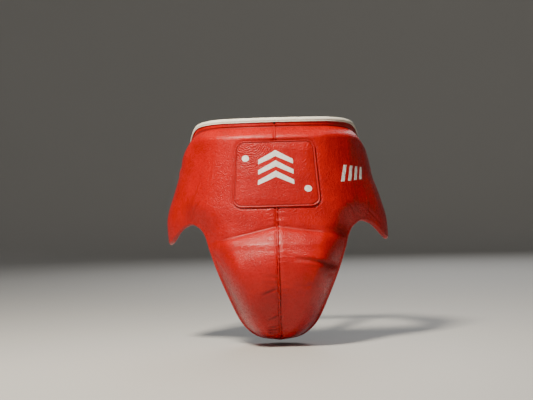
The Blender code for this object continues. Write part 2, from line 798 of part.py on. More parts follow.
def make_anchor_tab(material, collection):
    """The leather tab that covers the leg straps' stitched ends at the tongue's tip."""

    def place(a, b):
        z = -336 + 15.5 * b
        return lift((2 * a - 1) * (28 + 9 * b), z, -2 * CLEAR - LEG_STRAP - 1.3)

    sheet("anchor_tab", 10, 4, place, 1.4, material, collection, side=-1)


def main():
    for obj in list(bpy.data.objects):
        bpy.data.objects.remove(obj)
    scene = bpy.context.scene.collection
    parts = bpy.data.collections.new("groin_protector")
    cutters = bpy.data.collections.new("cutters")
    scene.children.link(parts)
    scene.children.link(cutters)

    red = finish("red_leather", (0.62, 0.006, 0.004), 0.32)
    white = finish("white_binding", (0.82, 0.79, 0.70), 0.5)
    lining = finish("lining_cloth", (0.05, 0.05, 0.055), 0.85)
    foam = finish("foam", (0.75, 0.72, 0.62), 0.95)
    shell = finish("cup_shell", (0.85, 0.85, 0.83), 0.4)
    suede = finish("liner_suede", (0.08, 0.075, 0.075), 0.95)
    steel = finish("nickel_wire", (0.8, 0.79, 0.77), 0.22, 1.0)
    elastic = finish("black_elastic", (0.018, 0.018, 0.02), 0.8)
    hook = finish("hook_tape", (0.02, 0.02, 0.022), 0.9)
    loop = finish("loop_tape", (0.03, 0.03, 0.032), 0.98)
    plastic = finish("black_plastic", (0.02, 0.02, 0.02), 0.4)

    make_front_panels(red, parts)
    make_lining(lining, parts, cutters)
    make_foam(foam, parts)
    make_bindings(white, red, parts)
    make_centre_welt(red, parts)
    make_patch(red, parts)
    make_cup(shell, suede, lining, parts)
    for side, word in ((1, "right"), (-1, "left")):
        make_closure(side, word, red, steel, elastic, hook, loop, parts)
        make_leg_strap(side, word, elastic, plastic, parts, cutters)
    ribbon("rear_band", band_path(), BAND_HEIGHT, BAND, elastic, parts, 1)
    make_anchor_tab(red, parts)


main()
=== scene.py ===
"""A boxer's groin protector, modelled in leather, foam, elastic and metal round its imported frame.

The pad is a flat pattern wrapped on a body form: u is the girth from the centre front and z the height, both in
millimetres, and h is the distance outward from the wearer's side. lift() carries a pattern point into the frame.
"""

import math

import bpy
import numpy as np
from bpy.props import FloatProperty, FloatVectorProperty, PointerProperty
from mathutils import Matrix, Vector


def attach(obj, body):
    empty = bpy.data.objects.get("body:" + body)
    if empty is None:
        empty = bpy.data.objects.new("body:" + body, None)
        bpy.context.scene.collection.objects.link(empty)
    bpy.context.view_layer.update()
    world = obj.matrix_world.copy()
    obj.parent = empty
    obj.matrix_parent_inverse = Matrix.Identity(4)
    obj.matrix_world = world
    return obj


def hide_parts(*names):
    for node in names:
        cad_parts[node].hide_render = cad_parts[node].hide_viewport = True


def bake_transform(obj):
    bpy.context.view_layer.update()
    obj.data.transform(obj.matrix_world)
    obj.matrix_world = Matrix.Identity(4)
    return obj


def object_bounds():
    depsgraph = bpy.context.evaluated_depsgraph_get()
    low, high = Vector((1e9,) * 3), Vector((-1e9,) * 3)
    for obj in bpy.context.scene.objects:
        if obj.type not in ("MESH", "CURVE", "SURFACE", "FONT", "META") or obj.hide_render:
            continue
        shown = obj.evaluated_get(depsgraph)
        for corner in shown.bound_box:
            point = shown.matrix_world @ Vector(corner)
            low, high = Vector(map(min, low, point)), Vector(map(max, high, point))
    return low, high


bl_info = {
    "name": "Groin Protector",
    "version": (1, 0, 0),
    "blender": (4, 5, 0),
    "location": "View3D > Sidebar > Protector",
    "description": "Models a padded leather groin protector round its packed frame",
    "category": "Add Mesh",
}

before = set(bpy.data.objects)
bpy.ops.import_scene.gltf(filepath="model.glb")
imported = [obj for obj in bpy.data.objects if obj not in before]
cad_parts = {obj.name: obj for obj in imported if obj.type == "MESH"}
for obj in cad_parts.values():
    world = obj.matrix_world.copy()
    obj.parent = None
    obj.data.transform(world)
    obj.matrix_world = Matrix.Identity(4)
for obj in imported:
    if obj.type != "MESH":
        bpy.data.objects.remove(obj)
CAD_LOW, CAD_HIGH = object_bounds()
MM = 0.001
SIDES = (("right", 1), ("left", -1))

# ---- pattern and body form, in millimetres, as the frame's solids follow them -----------------------------

WAIST_HALF_WIDTH, HIP_HALF_WIDTH = 128, 170
WAIST_HALF_DEPTH, HIP_HALF_DEPTH = 98, 112
FLARE_DROP, FLARE_POWER, SECTION_POWER = 200, 1.35, 2.3
TUCK_START, TONGUE_TIP, TUCK_DEPTH = -200, -346, 58
WING_FLARE = 5.5  # how far the worn wings' lower tips stand out past the body form
HIP_GIRTH = 196  # from here the hips' flare settles into the band's
WING_END, BAND_LEVEL = 262, -88
TOP_EDGE = [(0, 0), (60, 0), (100, 0), (140, -3), (162, -10), (182, -22), (205, -35), (232, -46), (262, -52)]
LOWER_EDGE = [
    (0, TONGUE_TIP), (25, -341), (41, -329), (53, -310), (66.5, -274), (80, -235),
    (91, -199), (101, -178), (112, -168), (123, -164), (138, -170), (150, -180),
    (163, -191), (179, -196), (196, -188), (216, -166), (240, -139), (262, -120),
]
LEATHER, FLANGE, FLANGE_WIDTH, EDGE_RADIUS = 1.6, 4.2, 13.5, 4.5
BELLY_PAD, HIP_PAD, CUP_PAD = 28, 15, 60
EDGE_ROUNDING, TOP_ROUNDING, END_ROUNDING = 36, 20, 44
CREASE_LEVEL, CREASE_SLOPES, CREASE_DEPTH, CREASE_WIDTH = -170, (0.3, 0.19), 8, 10
CUP_CENTRE, CUP_HALF_WIDTH, CUP_HALF_HEIGHT, CUP_PEAR, CUP_DEPTH, CUP_LIFT = -243, 52, 61, 0.24, 38, 2.9
PATCH_HALF_WIDTH, PATCH_TOP, PATCH_BOTTOM, PATCH_CORNER = 58, -37, -140, 13
CLOSURE_HEIGHT, STRAP, ROOT_LIFT, RING_WIRE = 50, 2.0, 4.4, 2.0
FRONT_BAR, REAR_BAR, BAR_LIFT, FOLD_RADIUS, FOLD_END = 26, 42, 10.0, 5.6, 15.6
RING_OPENING, HOOK, GRIP_GAP, CLEAR = 56, 1.2, 0.9, 0.35
TAB_START, TAB_END = 252, 222
KEEPER, BAND, BAND_HEIGHT, BACK_DEPTH = 1.2, 2.6, 54, 128
LEG_WIDTH, LEG_STRAP = 25, 1.6
RIM_ROLL = 4.5
END_U = 259.2
PANEL_END = 0.989  # share of the lower edge where the leather and lining stop
SEAM_GAP = 1.5  # half of the slot that the centre welt fills
CHANNEL = 12.4  # sewn channel of the front, down from the waist edge
BINDING_LEATHER, BINDING_SEAM = 0.9, 3.7
PATCH_SEAM, PATCH_ROLL = 2.7, 0.85
LINING_INSET, LINING_SEAM = 8.4, 11.5
SPLIT_ANGLE = math.radians(50)

# Stitches: pitch, length and thread radius
PAD_STITCH, STRAP_STITCH, BADGE_STITCH = (3.4, 2.5, 0.34), (3.2, 2.3, 0.3), (3.2, 2.3, 0.26)
BINDING_STITCH, KEEPER_STITCH, LEG_STITCH = (3.0, 2.1, 0.28), (2.8, 2.0, 0.3), (2.6, 1.9, 0.28)
STITCH_SUNK = 0.1


def smooth(x):
    x = np.clip(x, 0, 1)
    return x * x * (3 - 2 * x)


def quarter(x):
    """A quarter sine, for the plump round-over of a stuffed edge."""
    return np.sin(np.pi / 2 * np.clip(x, 0, 1))


def bell(distance, width):
    return np.exp(-((distance / width) ** 2))


def unit(v):
    return v / np.linalg.norm(v, axis=-1, keepdims=True)


def lengths_along(points):
    """Length travelled along a line at each of its points."""
    return np.concatenate([[0], np.cumsum(np.linalg.norm(np.diff(points, axis=0), axis=1))])


def section(theta):
    """Unit horizontal section of the body, theta 0 at the front and positive to +X."""
    power = 2 / SECTION_POWER
    s, c = np.sin(theta), np.cos(theta)
    return np.sign(s) * np.abs(s) ** power, -np.sign(c) * np.abs(c) ** power


def flare_at(z):
    return np.clip(-z / FLARE_DROP, 0, 1) ** FLARE_POWER


def half_axes(flare):
    return (
        WAIST_HALF_WIDTH + (HIP_HALF_WIDTH - WAIST_HALF_WIDTH) * flare,
        WAIST_HALF_DEPTH + (HIP_HALF_DEPTH - WAIST_HALF_DEPTH) * flare,
    )


ANGLES = np.linspace(0, math.pi, 721)
OUTLINE = np.stack(section(ANGLES), axis=1) * half_axes(flare_at(np.float64(BAND_LEVEL)))
GIRTH = lengths_along(OUTLINE)


def wing_flare(u, z):
    """How far a wing's lower tip stands out past the body form; the left one is drawn in again at its end."""
    girth = np.abs(u)
    over_hip = smooth((-z - 80) / 75) * smooth((girth - 95) / 70) * (1 - smooth((girth - HIP_GIRTH) / 26))
    drawn_in = 0.85 * smooth((-z - 152) / 42) * (u < 0)
    return WING_FLARE * (over_hip * (1 - drawn_in))


def on_body(u, z):
    """Points on the wearer's side of the pad, in millimetres."""
    across, along = section(np.copysign(np.interp(np.abs(u), GIRTH, ANGLES), u))
    settled = smooth((np.abs(u) - HIP_GIRTH) / (WING_END - HIP_GIRTH))
    flare = flare_at(z) * (1 - settled) + flare_at(np.float64(BAND_LEVEL)) * settled
    width, depth = half_axes(flare)
    width = width + wing_flare(u, z)
    tuck = TUCK_DEPTH * np.maximum((TUCK_START - z) / (TUCK_START - TONGUE_TIP), 0) ** 2
    return np.stack(np.broadcast_arrays(width * across, depth * along + tuck, z), axis=-1)


def outward(u, z):
    return unit(np.cross(on_body(u + 1, z) - on_body(u - 1, z), on_body(u, z + 1) - on_body(u, z - 1)))


def lift(u, z, h):
    """Pattern points at that height above the wearer's side, in millimetres."""
    u, z, h = np.broadcast_arrays(np.asarray(u, float), np.asarray(z, float), np.asarray(h, float))
    return on_body(u, z) + outward(u, z) * h[..., None]


def spline(points, steps=10):
    """Catmull-Rom curve through the control points, sampled."""
    pts = np.array([points[0], *points, points[-1]], float)
    t = (np.arange(steps) / steps)[:, None]
    curve = []
    for i in range(1, len(pts) - 2):
        a, b, c, d = pts[i - 1 : i + 3]
        bent = (2 * a - 5 * b + 4 * c - d) * t**2 + (3 * b - a - 3 * c + d) * t**3
        curve.append(0.5 * (2 * b + (c - a) * t + bent))
    return np.concatenate([*curve, pts[-1:]])


UPPER, LOWER = spline(TOP_EDGE), spline(LOWER_EDGE)
TANGENTS = np.gradient(LOWER, axis=0)
TANGENTS[0] = (1, 0)
INWARD = unit(np.stack([-TANGENTS[:, 1], TANGENTS[:, 0]], axis=1))


def distance_to(curve, u, z):
    """Distance from pattern points to a sampled line, and how far along the line the nearest point is, 0 to 1."""
    starts, ends = np.asarray(curve[:-1], float), np.asarray(curve[1:], float)
    along = ends - starts
    p = np.stack([np.ravel(u), np.ravel(z)], axis=1)
    best, share = np.full(len(p), 1e9), np.zeros(len(p))
    for k, (start, run) in enumerate(zip(starts, along, strict=True)):
        t = np.clip((p - start) @ run / (run @ run), 0, 1)
        d = np.linalg.norm(start + t[:, None] * run - p, axis=1)
        nearer = d < best
        best[nearer], share[nearer] = d[nearer], (k + t[nearer]) / len(starts)
    return best.reshape(np.shape(u)), share.reshape(np.shape(u))


def crease(u):
    """Height of the fold between the belly pad and the cup pad."""
    return CREASE_LEVEL - np.where(np.asarray(u) < 0, *CREASE_SLOPES) * np.abs(u)


def shoulder():
    """How the cup pad rises below the crease: a quick step, a long even slope, then its crown."""
    turns = spline(
        [(-60, 0), (-6, 0), (0, 0.03), (3, 0.15), (8, 0.29), (24, 0.61), (38, 0.84), (54, 0.97), (70, 1), (90, 1)]
    )
    below = np.linspace(-60, 90, 301)
    rise = np.pad(np.interp(below, turns[:, 0], turns[:, 1]), 12, mode="edge")
    rise = np.convolve(rise, np.hanning(25), "valid")
    return lambda at: np.interp(at, below, rise / rise[-1])


SHOULDER = shoulder()


def full_pad(u, z, plain):
    base = HIP_PAD + (BELLY_PAD - HIP_PAD) * (1 - smooth((np.abs(u) - 70) / 80))
    below = crease(u) - z
    rise = quarter(below / 42) if plain else SHOULDER(below)
    swell = rise * (1 - 0.42 * smooth((below - 60) / 125)) * (1 - 0.7 * smooth((np.abs(u) - 25) / 80))
    depth, width = (CREASE_DEPTH, CREASE_WIDTH) if plain else (1.8, 3.2)
    fold = depth * bell(below, width) * (1 - smooth((np.abs(u) - 60) / 60))
    return base + np.maximum(CUP_PAD - base, 0) * swell - fold


def edges_of(u, z):
    """Distances from pattern points to the lower edge, the top edge and the wing's end."""
    return distance_to(LOWER, np.abs(u), z)[0], distance_to(UPPER, np.abs(u), z)[0], WING_END - np.abs(u)


def pad(u, z, plain=True):
    """Thickness of the whole pad, thin at the top flange and rounded at every edge; plain as its frame has it."""
    u, z = np.broadcast_arrays(np.asarray(u, float), np.asarray(z, float))
    low, top, end = edges_of(u, z)
    thin = FLANGE + (2 * EDGE_RADIUS - FLANGE) * smooth((top - FLANGE_WIDTH) / 30) * smooth((end - 12) / 30)
    fullness = quarter((low - EDGE_RADIUS) / EDGE_ROUNDING)
    fullness = fullness * quarter((top - FLANGE_WIDTH) / TOP_ROUNDING) * quarter((end - 10) / END_ROUNDING)
    return thin + (full_pad(u, z, plain) - thin) * fullness


def along_curve(curve, s):
    index = np.arange(len(curve))
    return np.stack([np.interp(np.asarray(s) * (len(curve) - 1), index, curve[:, k]) for k in (0, 1)], axis=-1)


def inset_lower(s, distance):
    spot = along_curve(LOWER, s) + along_curve(INWARD, s) * np.asarray(distance)[..., None]
    return spot[..., 0], spot[..., 1]


def upper_height(u):
    return np.interp(np.abs(u), UPPER[:, 0], UPPER[:, 1])


def top_of(s):
    """Girth of a pattern column's top: even along the waist, upright toward the wing's end."""
    low = along_curve(LOWER, np.abs(s))[..., 0]
    return low + (np.abs(s) * WING_END - low) * (1 - smooth((np.abs(s) - 0.8) / 0.13))


# ---- leather relief --------------------------------------------------------------------------------------

# Wrinkles of the leather: side of the pad, line through (u, z), depth and width in millimetres
WRINKLES = [
    (-1, [(126, -162), (121, -138), (115, -112), (108, -86), (104, -64)], 0.65, 1.5),
    (-1, [(128, -161), (125, -140), (122, -122)], 0.7, 1.2),
    (-1, [(123, -161), (117, -146), (109, -133), (97, -122)], 0.6, 1.4),
    (-1, [(131, -162), (131, -144), (129, -124)], 0.55, 1.3),
    (-1, [(117, -106), (110, -80), (105, -60)], 0.4, 1.3),
    (-1, [(92, -112), (86, -88), (83, -66)], 0.35, 1.8),
    (-1, [(99, -120), (94, -96), (90, -72)], 0.35, 1.5),
    (-1, [(134, -160), (139, -138), (141, -112)], 0.5, 1.6),
    (-1, [(146, -172), (152, -150), (153, -126)], 0.4, 1.8),
    (-1, [(100, -150), (88, -140), (72, -134)], 0.4, 1.8),
    (1, [(38, -171), (66, -174), (90, -179), (102, -181)], 0.75, 1.3),
    (1, [(70, -179), (88, -183), (99, -185)], 0.75, 1.2),
    (1, [(76, -185.5), (94, -188.5)], 0.65, 1.1),
    (1, [(60, -167), (82, -171), (98, -175)], 0.45, 1.3),
    (1, [(18, -212), (40, -216), (60, -224), (78, -233)], 2.2, 2.1),
    (1, [(46, -226), (62, -231), (76, -238)], 1.1, 1.4),
    (1, [(54, -236), (72, -244)], 0.9, 1.3),
    (1, [(30, -222), (46, -223)], 0.5, 1.4),
    (1, [(8, -243), (46, -243.5)], 0.45, 1.1),
    (1, [(6, -252), (36, -253)], 0.25, 1.2),
    (1, [(112, -161), (104, -146), (92, -137)], 0.5, 1.6),
    (1, [(128, -160), (136, -142), (140, -122)], 0.4, 1.6),
    (-1, [(2, -309), (9, -309.5), (16, -308)], 1.5, 1.0),
    (-1, [(2, -305), (10, -305.5), (17, -304)], 1.6, 1.0),
    (-1, [(2, -301), (9, -301.5), (16, -300.5)], 1.5, 1.0),
    (-1, [(2, -295.5), (8, -296.5), (15, -297)], 1.2, 1.1),
    (-1, [(2, -281), (8, -284), (14, -287)], 1.8, 1.2),
    (-1, [(3, -247), (12, -250), (20, -254)], 1.3, 1.3),
    (1, [(2, -320), (10, -320)], 0.8, 1.1),
    (1, [(2, -312), (13, -313)], 0.9, 1.1),
    (1, [(2, -303), (10, -304)], 0.7, 1.2),
    (-1, [(40, -196), (58, -203), (74, -206)], 0.45, 1.8),
    (-1, [(62, -222), (72, -214), (79, -210)], 0.5, 1.8),
]


def wrinkle_relief(u, z, side):
    """Depth of the wrinkles at pattern points of one side, and the painted shade along their folds, 0 to 1."""
    relief, shade = np.zeros_like(u), np.zeros_like(u)
    for which, line, depth, width in WRINKLES:
        if which != side:
            continue
        distance, share = distance_to(spline(line, 6), np.abs(u), z)
        taper = np.sin(np.pi * np.clip(share, 0.001, 0.999)) ** 0.55
        relief += depth * taper * (0.42 * bell(distance - 1.9 * width, width) - bell(distance, width))
        # painted shade along each wrinkle's fold, darker for deeper wrinkles
        shade = np.maximum(shade, taper * bell(distance, width) * min(depth, 1.2) ** 1.6 * 0.62)
    return relief, shade


def ripple(x, period, seed):
    """Uneven waves along a seam, from -1 to 1."""
    t = x / period * 2 * np.pi
    drift = 1.4 * np.sin(t * 0.217 + seed) + 0.8 * np.sin(t * 0.391 + 2 * seed)
    return np.sin(t + drift) * (0.72 + 0.28 * np.sin(t * 0.173 + seed))


def slack(u, z, seed):
    """Broad, shallow unevenness of leather over foam."""
    return (
        np.sin(u * 0.071 + z * 0.043 + seed) * np.sin(z * 0.089 - u * 0.031 + 2 * seed)
        + 0.55 * np.sin(u * 0.127 - z * 0.101 + 3 * seed) * np.sin(z * 0.063 + u * 0.149 + seed)
    )


def patch_border(u, z):
    """Signed distance to the badge patch's rounded outline, negative inside."""
    half_u, half_z = PATCH_HALF_WIDTH - PATCH_CORNER, (PATCH_TOP - PATCH_BOTTOM) / 2 - PATCH_CORNER
    du, dz = np.abs(u) - half_u, np.abs(z - (PATCH_TOP + PATCH_BOTTOM) / 2) - half_z
    outside = np.hypot(np.maximum(du, 0), np.maximum(dz, 0))
    return outside + np.minimum(np.maximum(du, dz), 0) - PATCH_CORNER


def skin(u, z, side):
    """Height of the outer leather over the wearer's side and the painted shade of its folds and seams."""
    low, top, end = edges_of(u, z)
    height = pad(u, z, plain=False)
    centre = np.abs(u)
    seam = 1.5 * bell(centre, 3.0) * smooth(low / 12) * smooth((top - 6) / 14)
    puckers = 0.42 * ripple(z, 8.5, 1.3 + side) * bell(centre - 6, 6)
    puckers *= smooth((low - 4) / 16) * smooth((top - 12) / 10)
    gather = smooth((-z - 284) / 24) * bell(centre - 5, 10) * smooth((low - 3) / 8)
    puckers += 0.5 * ripple(z + centre * 0.12, 6.6, 0.2 + side) * gather
    channel = 1.3 * bell(top - CHANNEL, 1.3)
    gathers = 0.3 * ripple(u, 7.5, 0.4) * bell(top - 19, 5) * smooth((centre - 6) / 12)
    hem = 0.22 * ripple(u + z, 10.5, 2.1 + side) * bell(low - 12, 8) * smooth((low - 6) / 5)
    sewn = patch_border(u, z)
    around = 1.1 * bell(sewn - 0.3, 2.2) - 0.16 * ripple(u - z, 7, 0.9) * bell(sewn - 4, 3)
    wrinkles, shade = wrinkle_relief(u, z, side)
    inner = smooth((low - 8) / 25) * smooth((top - 20) / 25) * smooth((end - 14) / 20)
    height = height - seam + puckers - channel + gathers + hem - around + wrinkles
    height += 0.42 * slack(u, z, 0.7 + side) * inner
    streaks = np.sin(centre * 1.25 + 1.6 * np.sin(z * 0.05) + 1.3 * np.sin(centre * 0.31))
    height += 0.16 * streaks * smooth((centre - 78) / 20) * (1 - smooth((centre - 150) / 40)) * inner
    # painted shade in the sewn channel, along the centre seam, in the belly crease and round the patch's edge
    shade = np.maximum(shade, 0.7 * bell(top - CHANNEL, 1.3) + 0.16 * bell(centre, 1.7))
    shade = np.maximum(shade, 0.42 * bell(crease(u) - z, 2.2) * (1 - smooth((centre - 40) / 60)))
    shade = np.maximum(shade, 0.3 * bell(sewn - 0.6, 1.4))
    return height, np.clip(shade, 0, 1)


# ---- mesh making -----------------------------------------------------------------------------------------


def deselect():
    if bpy.context.object and bpy.context.object.mode != "OBJECT":
        bpy.ops.object.mode_set(mode="OBJECT")
    bpy.ops.object.select_all(action="DESELECT")


def pick(piece):
    deselect()
    piece.select_set(True)
    bpy.context.view_layer.objects.active = piece
    return piece


def named(name):
    """The primitive just added, under its piece's name."""
    piece = bpy.context.active_object
    piece.name = piece.data.name = name
    return piece


def points_of(piece):
    flat = np.empty(len(piece.data.vertices) * 3)
    piece.data.vertices.foreach_get("co", flat)
    return flat.reshape(-1, 3)


def move_points(piece, points_mm):
    piece.data.vertices.foreach_set("co", (np.asarray(points_mm, float) * MM).ravel())
    piece.data.update()


def grid(name, columns, rows):
    """A flat grid to be shaped, with each point's place across and along it, both 0 to 1."""
    deselect()
    bpy.ops.mesh.primitive_grid_add(x_subdivisions=columns, y_subdivisions=rows, size=2)
    piece = named(name)
    flat = points_of(piece)
    return piece, (flat[:, 0] + 1) / 2, (flat[:, 1] + 1) / 2


def donut_of(name, around, across):
    """A torus of radii 1 and 0.25 to be shaped, with its points."""
    deselect()
    bpy.ops.mesh.primitive_torus_add(
        major_segments=around, minor_segments=across, major_radius=1, minor_radius=0.25
    )
    piece = named(name)
    return piece, points_of(piece)


def step(share, count):
    """The grid column or row at those shares of its span."""
    return np.rint(share * count).astype(int)


def lay_uv(piece, across_mm, along_mm):
    """UVs in metres of cloth or leather, from values at the points."""
    corners = np.empty(len(piece.data.loops), int)
    piece.data.loops.foreach_get("vertex_index", corners)
    uv = np.stack([across_mm, along_mm], axis=1)[corners] * MM
    layer = piece.data.uv_layers.active or piece.data.uv_layers.new(name="UVMap")
    layer.data.foreach_set("uv", uv.ravel())


def shape(piece, points_mm, across_mm, along_mm, fold=None):
    """Puts a primitive's points in place with their UVs and, for leather, the painted shade of its folds as the fold
    attribute.
    """
    move_points(piece, points_mm)
    lay_uv(piece, across_mm, along_mm)
    if fold is not None:
        # fold: the painted shade mask that the leather finishes darken by
        attribute = piece.data.attributes.new("fold", "FLOAT", "POINT")
        attribute.data.foreach_set("value", np.asarray(fold, np.float32))


def modify(piece, kind, **settings):
    """Adds a modifier and applies it."""
    pick(piece)
    modifier = piece.modifiers.new(kind.lower(), kind)
    for key, value in settings.items():
        setattr(modifier, key, value)
    bpy.ops.object.modifier_apply(modifier=modifier.name)


def edit(piece, *steps):
    """Runs edit-mode steps on all of the piece, each a tool and its settings."""
    pick(piece)
    bpy.ops.object.mode_set(mode="EDIT")
    for tool, settings in steps:
        bpy.ops.mesh.select_all(action="SELECT")
        tool(**settings)
    bpy.ops.object.mode_set(mode="OBJECT")


def close_up(piece, merge_mm=0.02):
    """Merges doubled points, fills open ends and turns the faces outward."""
    edit(
        piece,
        (bpy.ops.mesh.remove_doubles, {"threshold": merge_mm * MM}),
        (bpy.ops.mesh.fill_holes, {"sides": 0}),
        (bpy.ops.mesh.normals_make_consistent, {"inside": False}),
    )


def give_thickness(piece, thickness_mm, offset):
    modify(piece, "SOLIDIFY", thickness=thickness_mm * MM, offset=offset)


def round_edges(piece, radius_mm):
    modify(piece, "BEVEL", width=radius_mm * MM, segments=2, limit_method="ANGLE", angle_limit=SPLIT_ANGLE)


def face(piece, way):
    """Turns a sheet's faces to the front, way -1, or to the wearer, way 1."""
    if way * sum(p.normal.y * p.area for p in piece.data.polygons) < 0:
        edit(piece, (bpy.ops.mesh.flip_normals, {}))


def soften(piece, angle=40):
    pick(piece)
    bpy.ops.object.shade_smooth_by_angle(angle=math.radians(angle))


def done(piece, finish, body, replaced=()):
    """Gives a finished piece its material, its body and the frame nodes that it stands for."""
    piece.data.materials.clear()
    piece.data.materials.append(bpy.data.materials[finish])
    if body:
        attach(piece, body)
    if replaced:
        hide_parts(*replaced)
    return piece


def web(name, across_pairs, thickness_mm, columns=10, crown=0.0):
    """A strap with rounded selvedges, swept along pairs of edge points in millimetres."""
    left = np.array([a for a, _ in across_pairs], float)
    right = np.array([b for _, b in across_pairs], float)
    middle = (left + right) / 2
    ahead = np.gradient(middle, axis=0)
    wide = right - left
    width = np.linalg.norm(wide, axis=1, keepdims=True)
    up = unit(np.cross(wide / width, ahead))
    length = lengths_along(middle)
    around = columns * 2
    piece, a, b = grid(name, around, len(middle) - 1)
    row = step(b, len(middle) - 1)
    turn = a * 2 * np.pi
    x = np.sign(np.cos(turn)) * np.abs(np.cos(turn)) ** 0.32
    y = np.sign(np.sin(turn)) * np.abs(np.sin(turn)) ** 0.75 * (1 + crown * (1 - x**2))
    spots = middle[row] + wide[row] * 0.5 * x[:, None] + up[row] * (thickness_mm / 2) * y[:, None]
    shape(piece, spots, x * width[row, 0] / 2, length[row])
    close_up(piece, 0.005)
    soften(piece, 50)
    return piece


def sew(name, points, normals, gauge, thread, body):
    """A row of thread stitches along points in millimetres, each lying on the surface with those normals."""
    pitch, length, radius = gauge
    points, normals = np.asarray(points, float), np.asarray(normals, float)
    travelled = lengths_along(points)
    count = max(int(travelled[-1] / pitch), 1)
    places = (np.arange(count) + 0.5) * travelled[-1] / count

    def at(places, values):
        return np.stack([np.interp(places, travelled, values[:, k]) for k in range(3)], axis=1)

    spot, up = at(places, points), at(places, normals)
    along = unit(at(places + 0.6, points) - at(places - 0.6, points))
    up = unit(up - along * (up * along).sum(1, keepdims=True))
    across = np.cross(up, along)
    deselect()
    bpy.ops.mesh.primitive_uv_sphere_add(segments=6, ring_count=5, radius=1)
    piece = named(name)
    one = points_of(piece)
    modify(piece, "ARRAY", count=count, use_relative_offset=False, use_merge_vertices=False)
    arch = radius * (1 - (one[:, 2] ** 2) * 1.3)
    lying = (
        spot[:, None]
        + along[:, None] * (one[None, :, 2:3] * length / 2)
        + across[:, None] * (one[None, :, 0:1] * radius)
        + up[:, None] * (one[None, :, 1:2] * radius + arch[None, :, None] - STITCH_SUNK)
    )
    move_points(piece, lying.reshape(-1, 3))
    piece.data.shade_smooth()
    done(piece, thread, body)


# ---- finishes --------------------------------------------------------------------------------------------


class Field:
    """A number that varies over a surface. Arithmetic on it adds Math nodes."""

    def __init__(self, finish, socket):
        self.finish, self.socket = finish, socket

    def _math(self, operation, first, second=None):
        inputs = [first] if second is None else [first, second]
        made = self.finish.node("ShaderNodeMath", {"operation": operation}, *inputs)
        return Field(self.finish, made.outputs[0])

    def __add__(self, other):
        return self._math("ADD", self, other)

    __radd__ = __add__

    def __sub__(self, other):
        return self._math("SUBTRACT", self, other)

    def __rsub__(self, other):
        return self._math("SUBTRACT", other, self)

    def __mul__(self, other):
        return self._math("MULTIPLY", self, other)

    __rmul__ = __mul__

    def __truediv__(self, other):
        return self._math("DIVIDE", self, other)

    def __pow__(self, other):
        return self._math("POWER", self, other)

    def wave(self):
        """Sine of the field times a full turn, so that one unit is one repeat."""
        return (self * (2 * math.pi))._math("SINE", self * (2 * math.pi))

    def size(self):
        return self._math("ABSOLUTE", self)

    def least(self, other):
        return self._math("MINIMUM", self, other)

    def span(self, low, high):
        """Eased 0 to 1 as the field goes from low to high."""
        settings = {"interpolation_type": "SMOOTHSTEP"}
        made = self.finish.node("ShaderNodeMapRange", settings, self, low, high, 0.0, 1.0)
        return Field(self.finish, made.outputs[0])


class Finish:
    """A material under construction."""

    def __init__(self, name, **constants):
        self.material = bpy.data.materials.new(name)
        self.material.use_nodes = True
        self.tree = self.material.node_tree
        self.shader = self.tree.nodes["Principled BSDF"]
        for key, value in constants.items():
            self.shader.inputs[key.replace("_", " ")].default_value = value

    def node(self, kind, settings, *inputs, **named_inputs):
        """Adds a node: its settings first, then its sockets' values or links."""
        made = self.tree.nodes.new(kind)
        for key, value in settings.items():
            setattr(made, key, value)
        for socket, value in zip(made.inputs, inputs, strict=False):
            self.feed(socket, value)
        for key, value in named_inputs.items():
            self.feed(made.inputs[key.replace("_", " ")], value)
        return made

    def feed(self, socket, value):
        if isinstance(value, Field):
            self.tree.links.new(value.socket, socket)
        elif isinstance(value, bpy.types.NodeSocket):
            self.tree.links.new(value, socket)
        elif value is not None:
            socket.default_value = value

    def place(self, stretch=(1, 1, 1)):
        """Object coordinates, in metres."""
        coordinates = self.node("ShaderNodeTexCoord", {}).outputs["Object"]
        return self.node("ShaderNodeMapping", {}, coordinates, Scale=stretch).outputs[0]

    def cloth(self):
        """The piece's own UVs, in metres, as two fields."""
        layer = self.node("ShaderNodeUVMap", {"uv_map": "UVMap"}).outputs[0]
        split = self.node("ShaderNodeSeparateXYZ", {}, layer)
        return Field(self, split.outputs[0]), Field(self, split.outputs[1])

    def layer(self, name):
        return Field(self, self.node("ShaderNodeAttribute", {"attribute_name": name}).outputs["Fac"])

    def noise(self, per_metre, detail=3.0, rough=0.55, stretch=(1, 1, 1), warp=0.0):
        made = self.node(
            "ShaderNodeTexNoise", {}, Vector=self.place(stretch), Scale=per_metre, Detail=detail, Roughness=rough,
            Distortion=warp,
        )
        return Field(self, made.outputs[0])

    def cells(self, per_metre, feature="F1", stretch=(1, 1, 1)):
        made = self.node("ShaderNodeTexVoronoi", {"feature": feature}, Vector=self.place(stretch), Scale=per_metre)
        return Field(self, made.outputs["Distance"])

    def blend(self, share, first, second):
        """A colour between two, each a colour or a link."""
        made = self.node("ShaderNodeMix", {"data_type": "RGBA"})
        factor, a, b, result = made.inputs[0], made.inputs[6], made.inputs[7], made.outputs[2]
        for socket, value in ((factor, share), (a, first), (b, second)):
            self.feed(socket, (*value, 1) if isinstance(value, tuple) and len(value) == 3 else value)
        return result

    def relief(self, height, depth_mm, under=None):
        """Bump of that depth for a height field from 0 to 1, laid over another bump."""
        made = self.node("ShaderNodeBump", {}, Height=height, Distance=depth_mm * MM, Strength=1.0, Normal=under)
        return made.outputs[0]

    def set(self, **fields):
        for key, value in fields.items():
            self.feed(self.shader.inputs[key.replace("_", " ")], value)


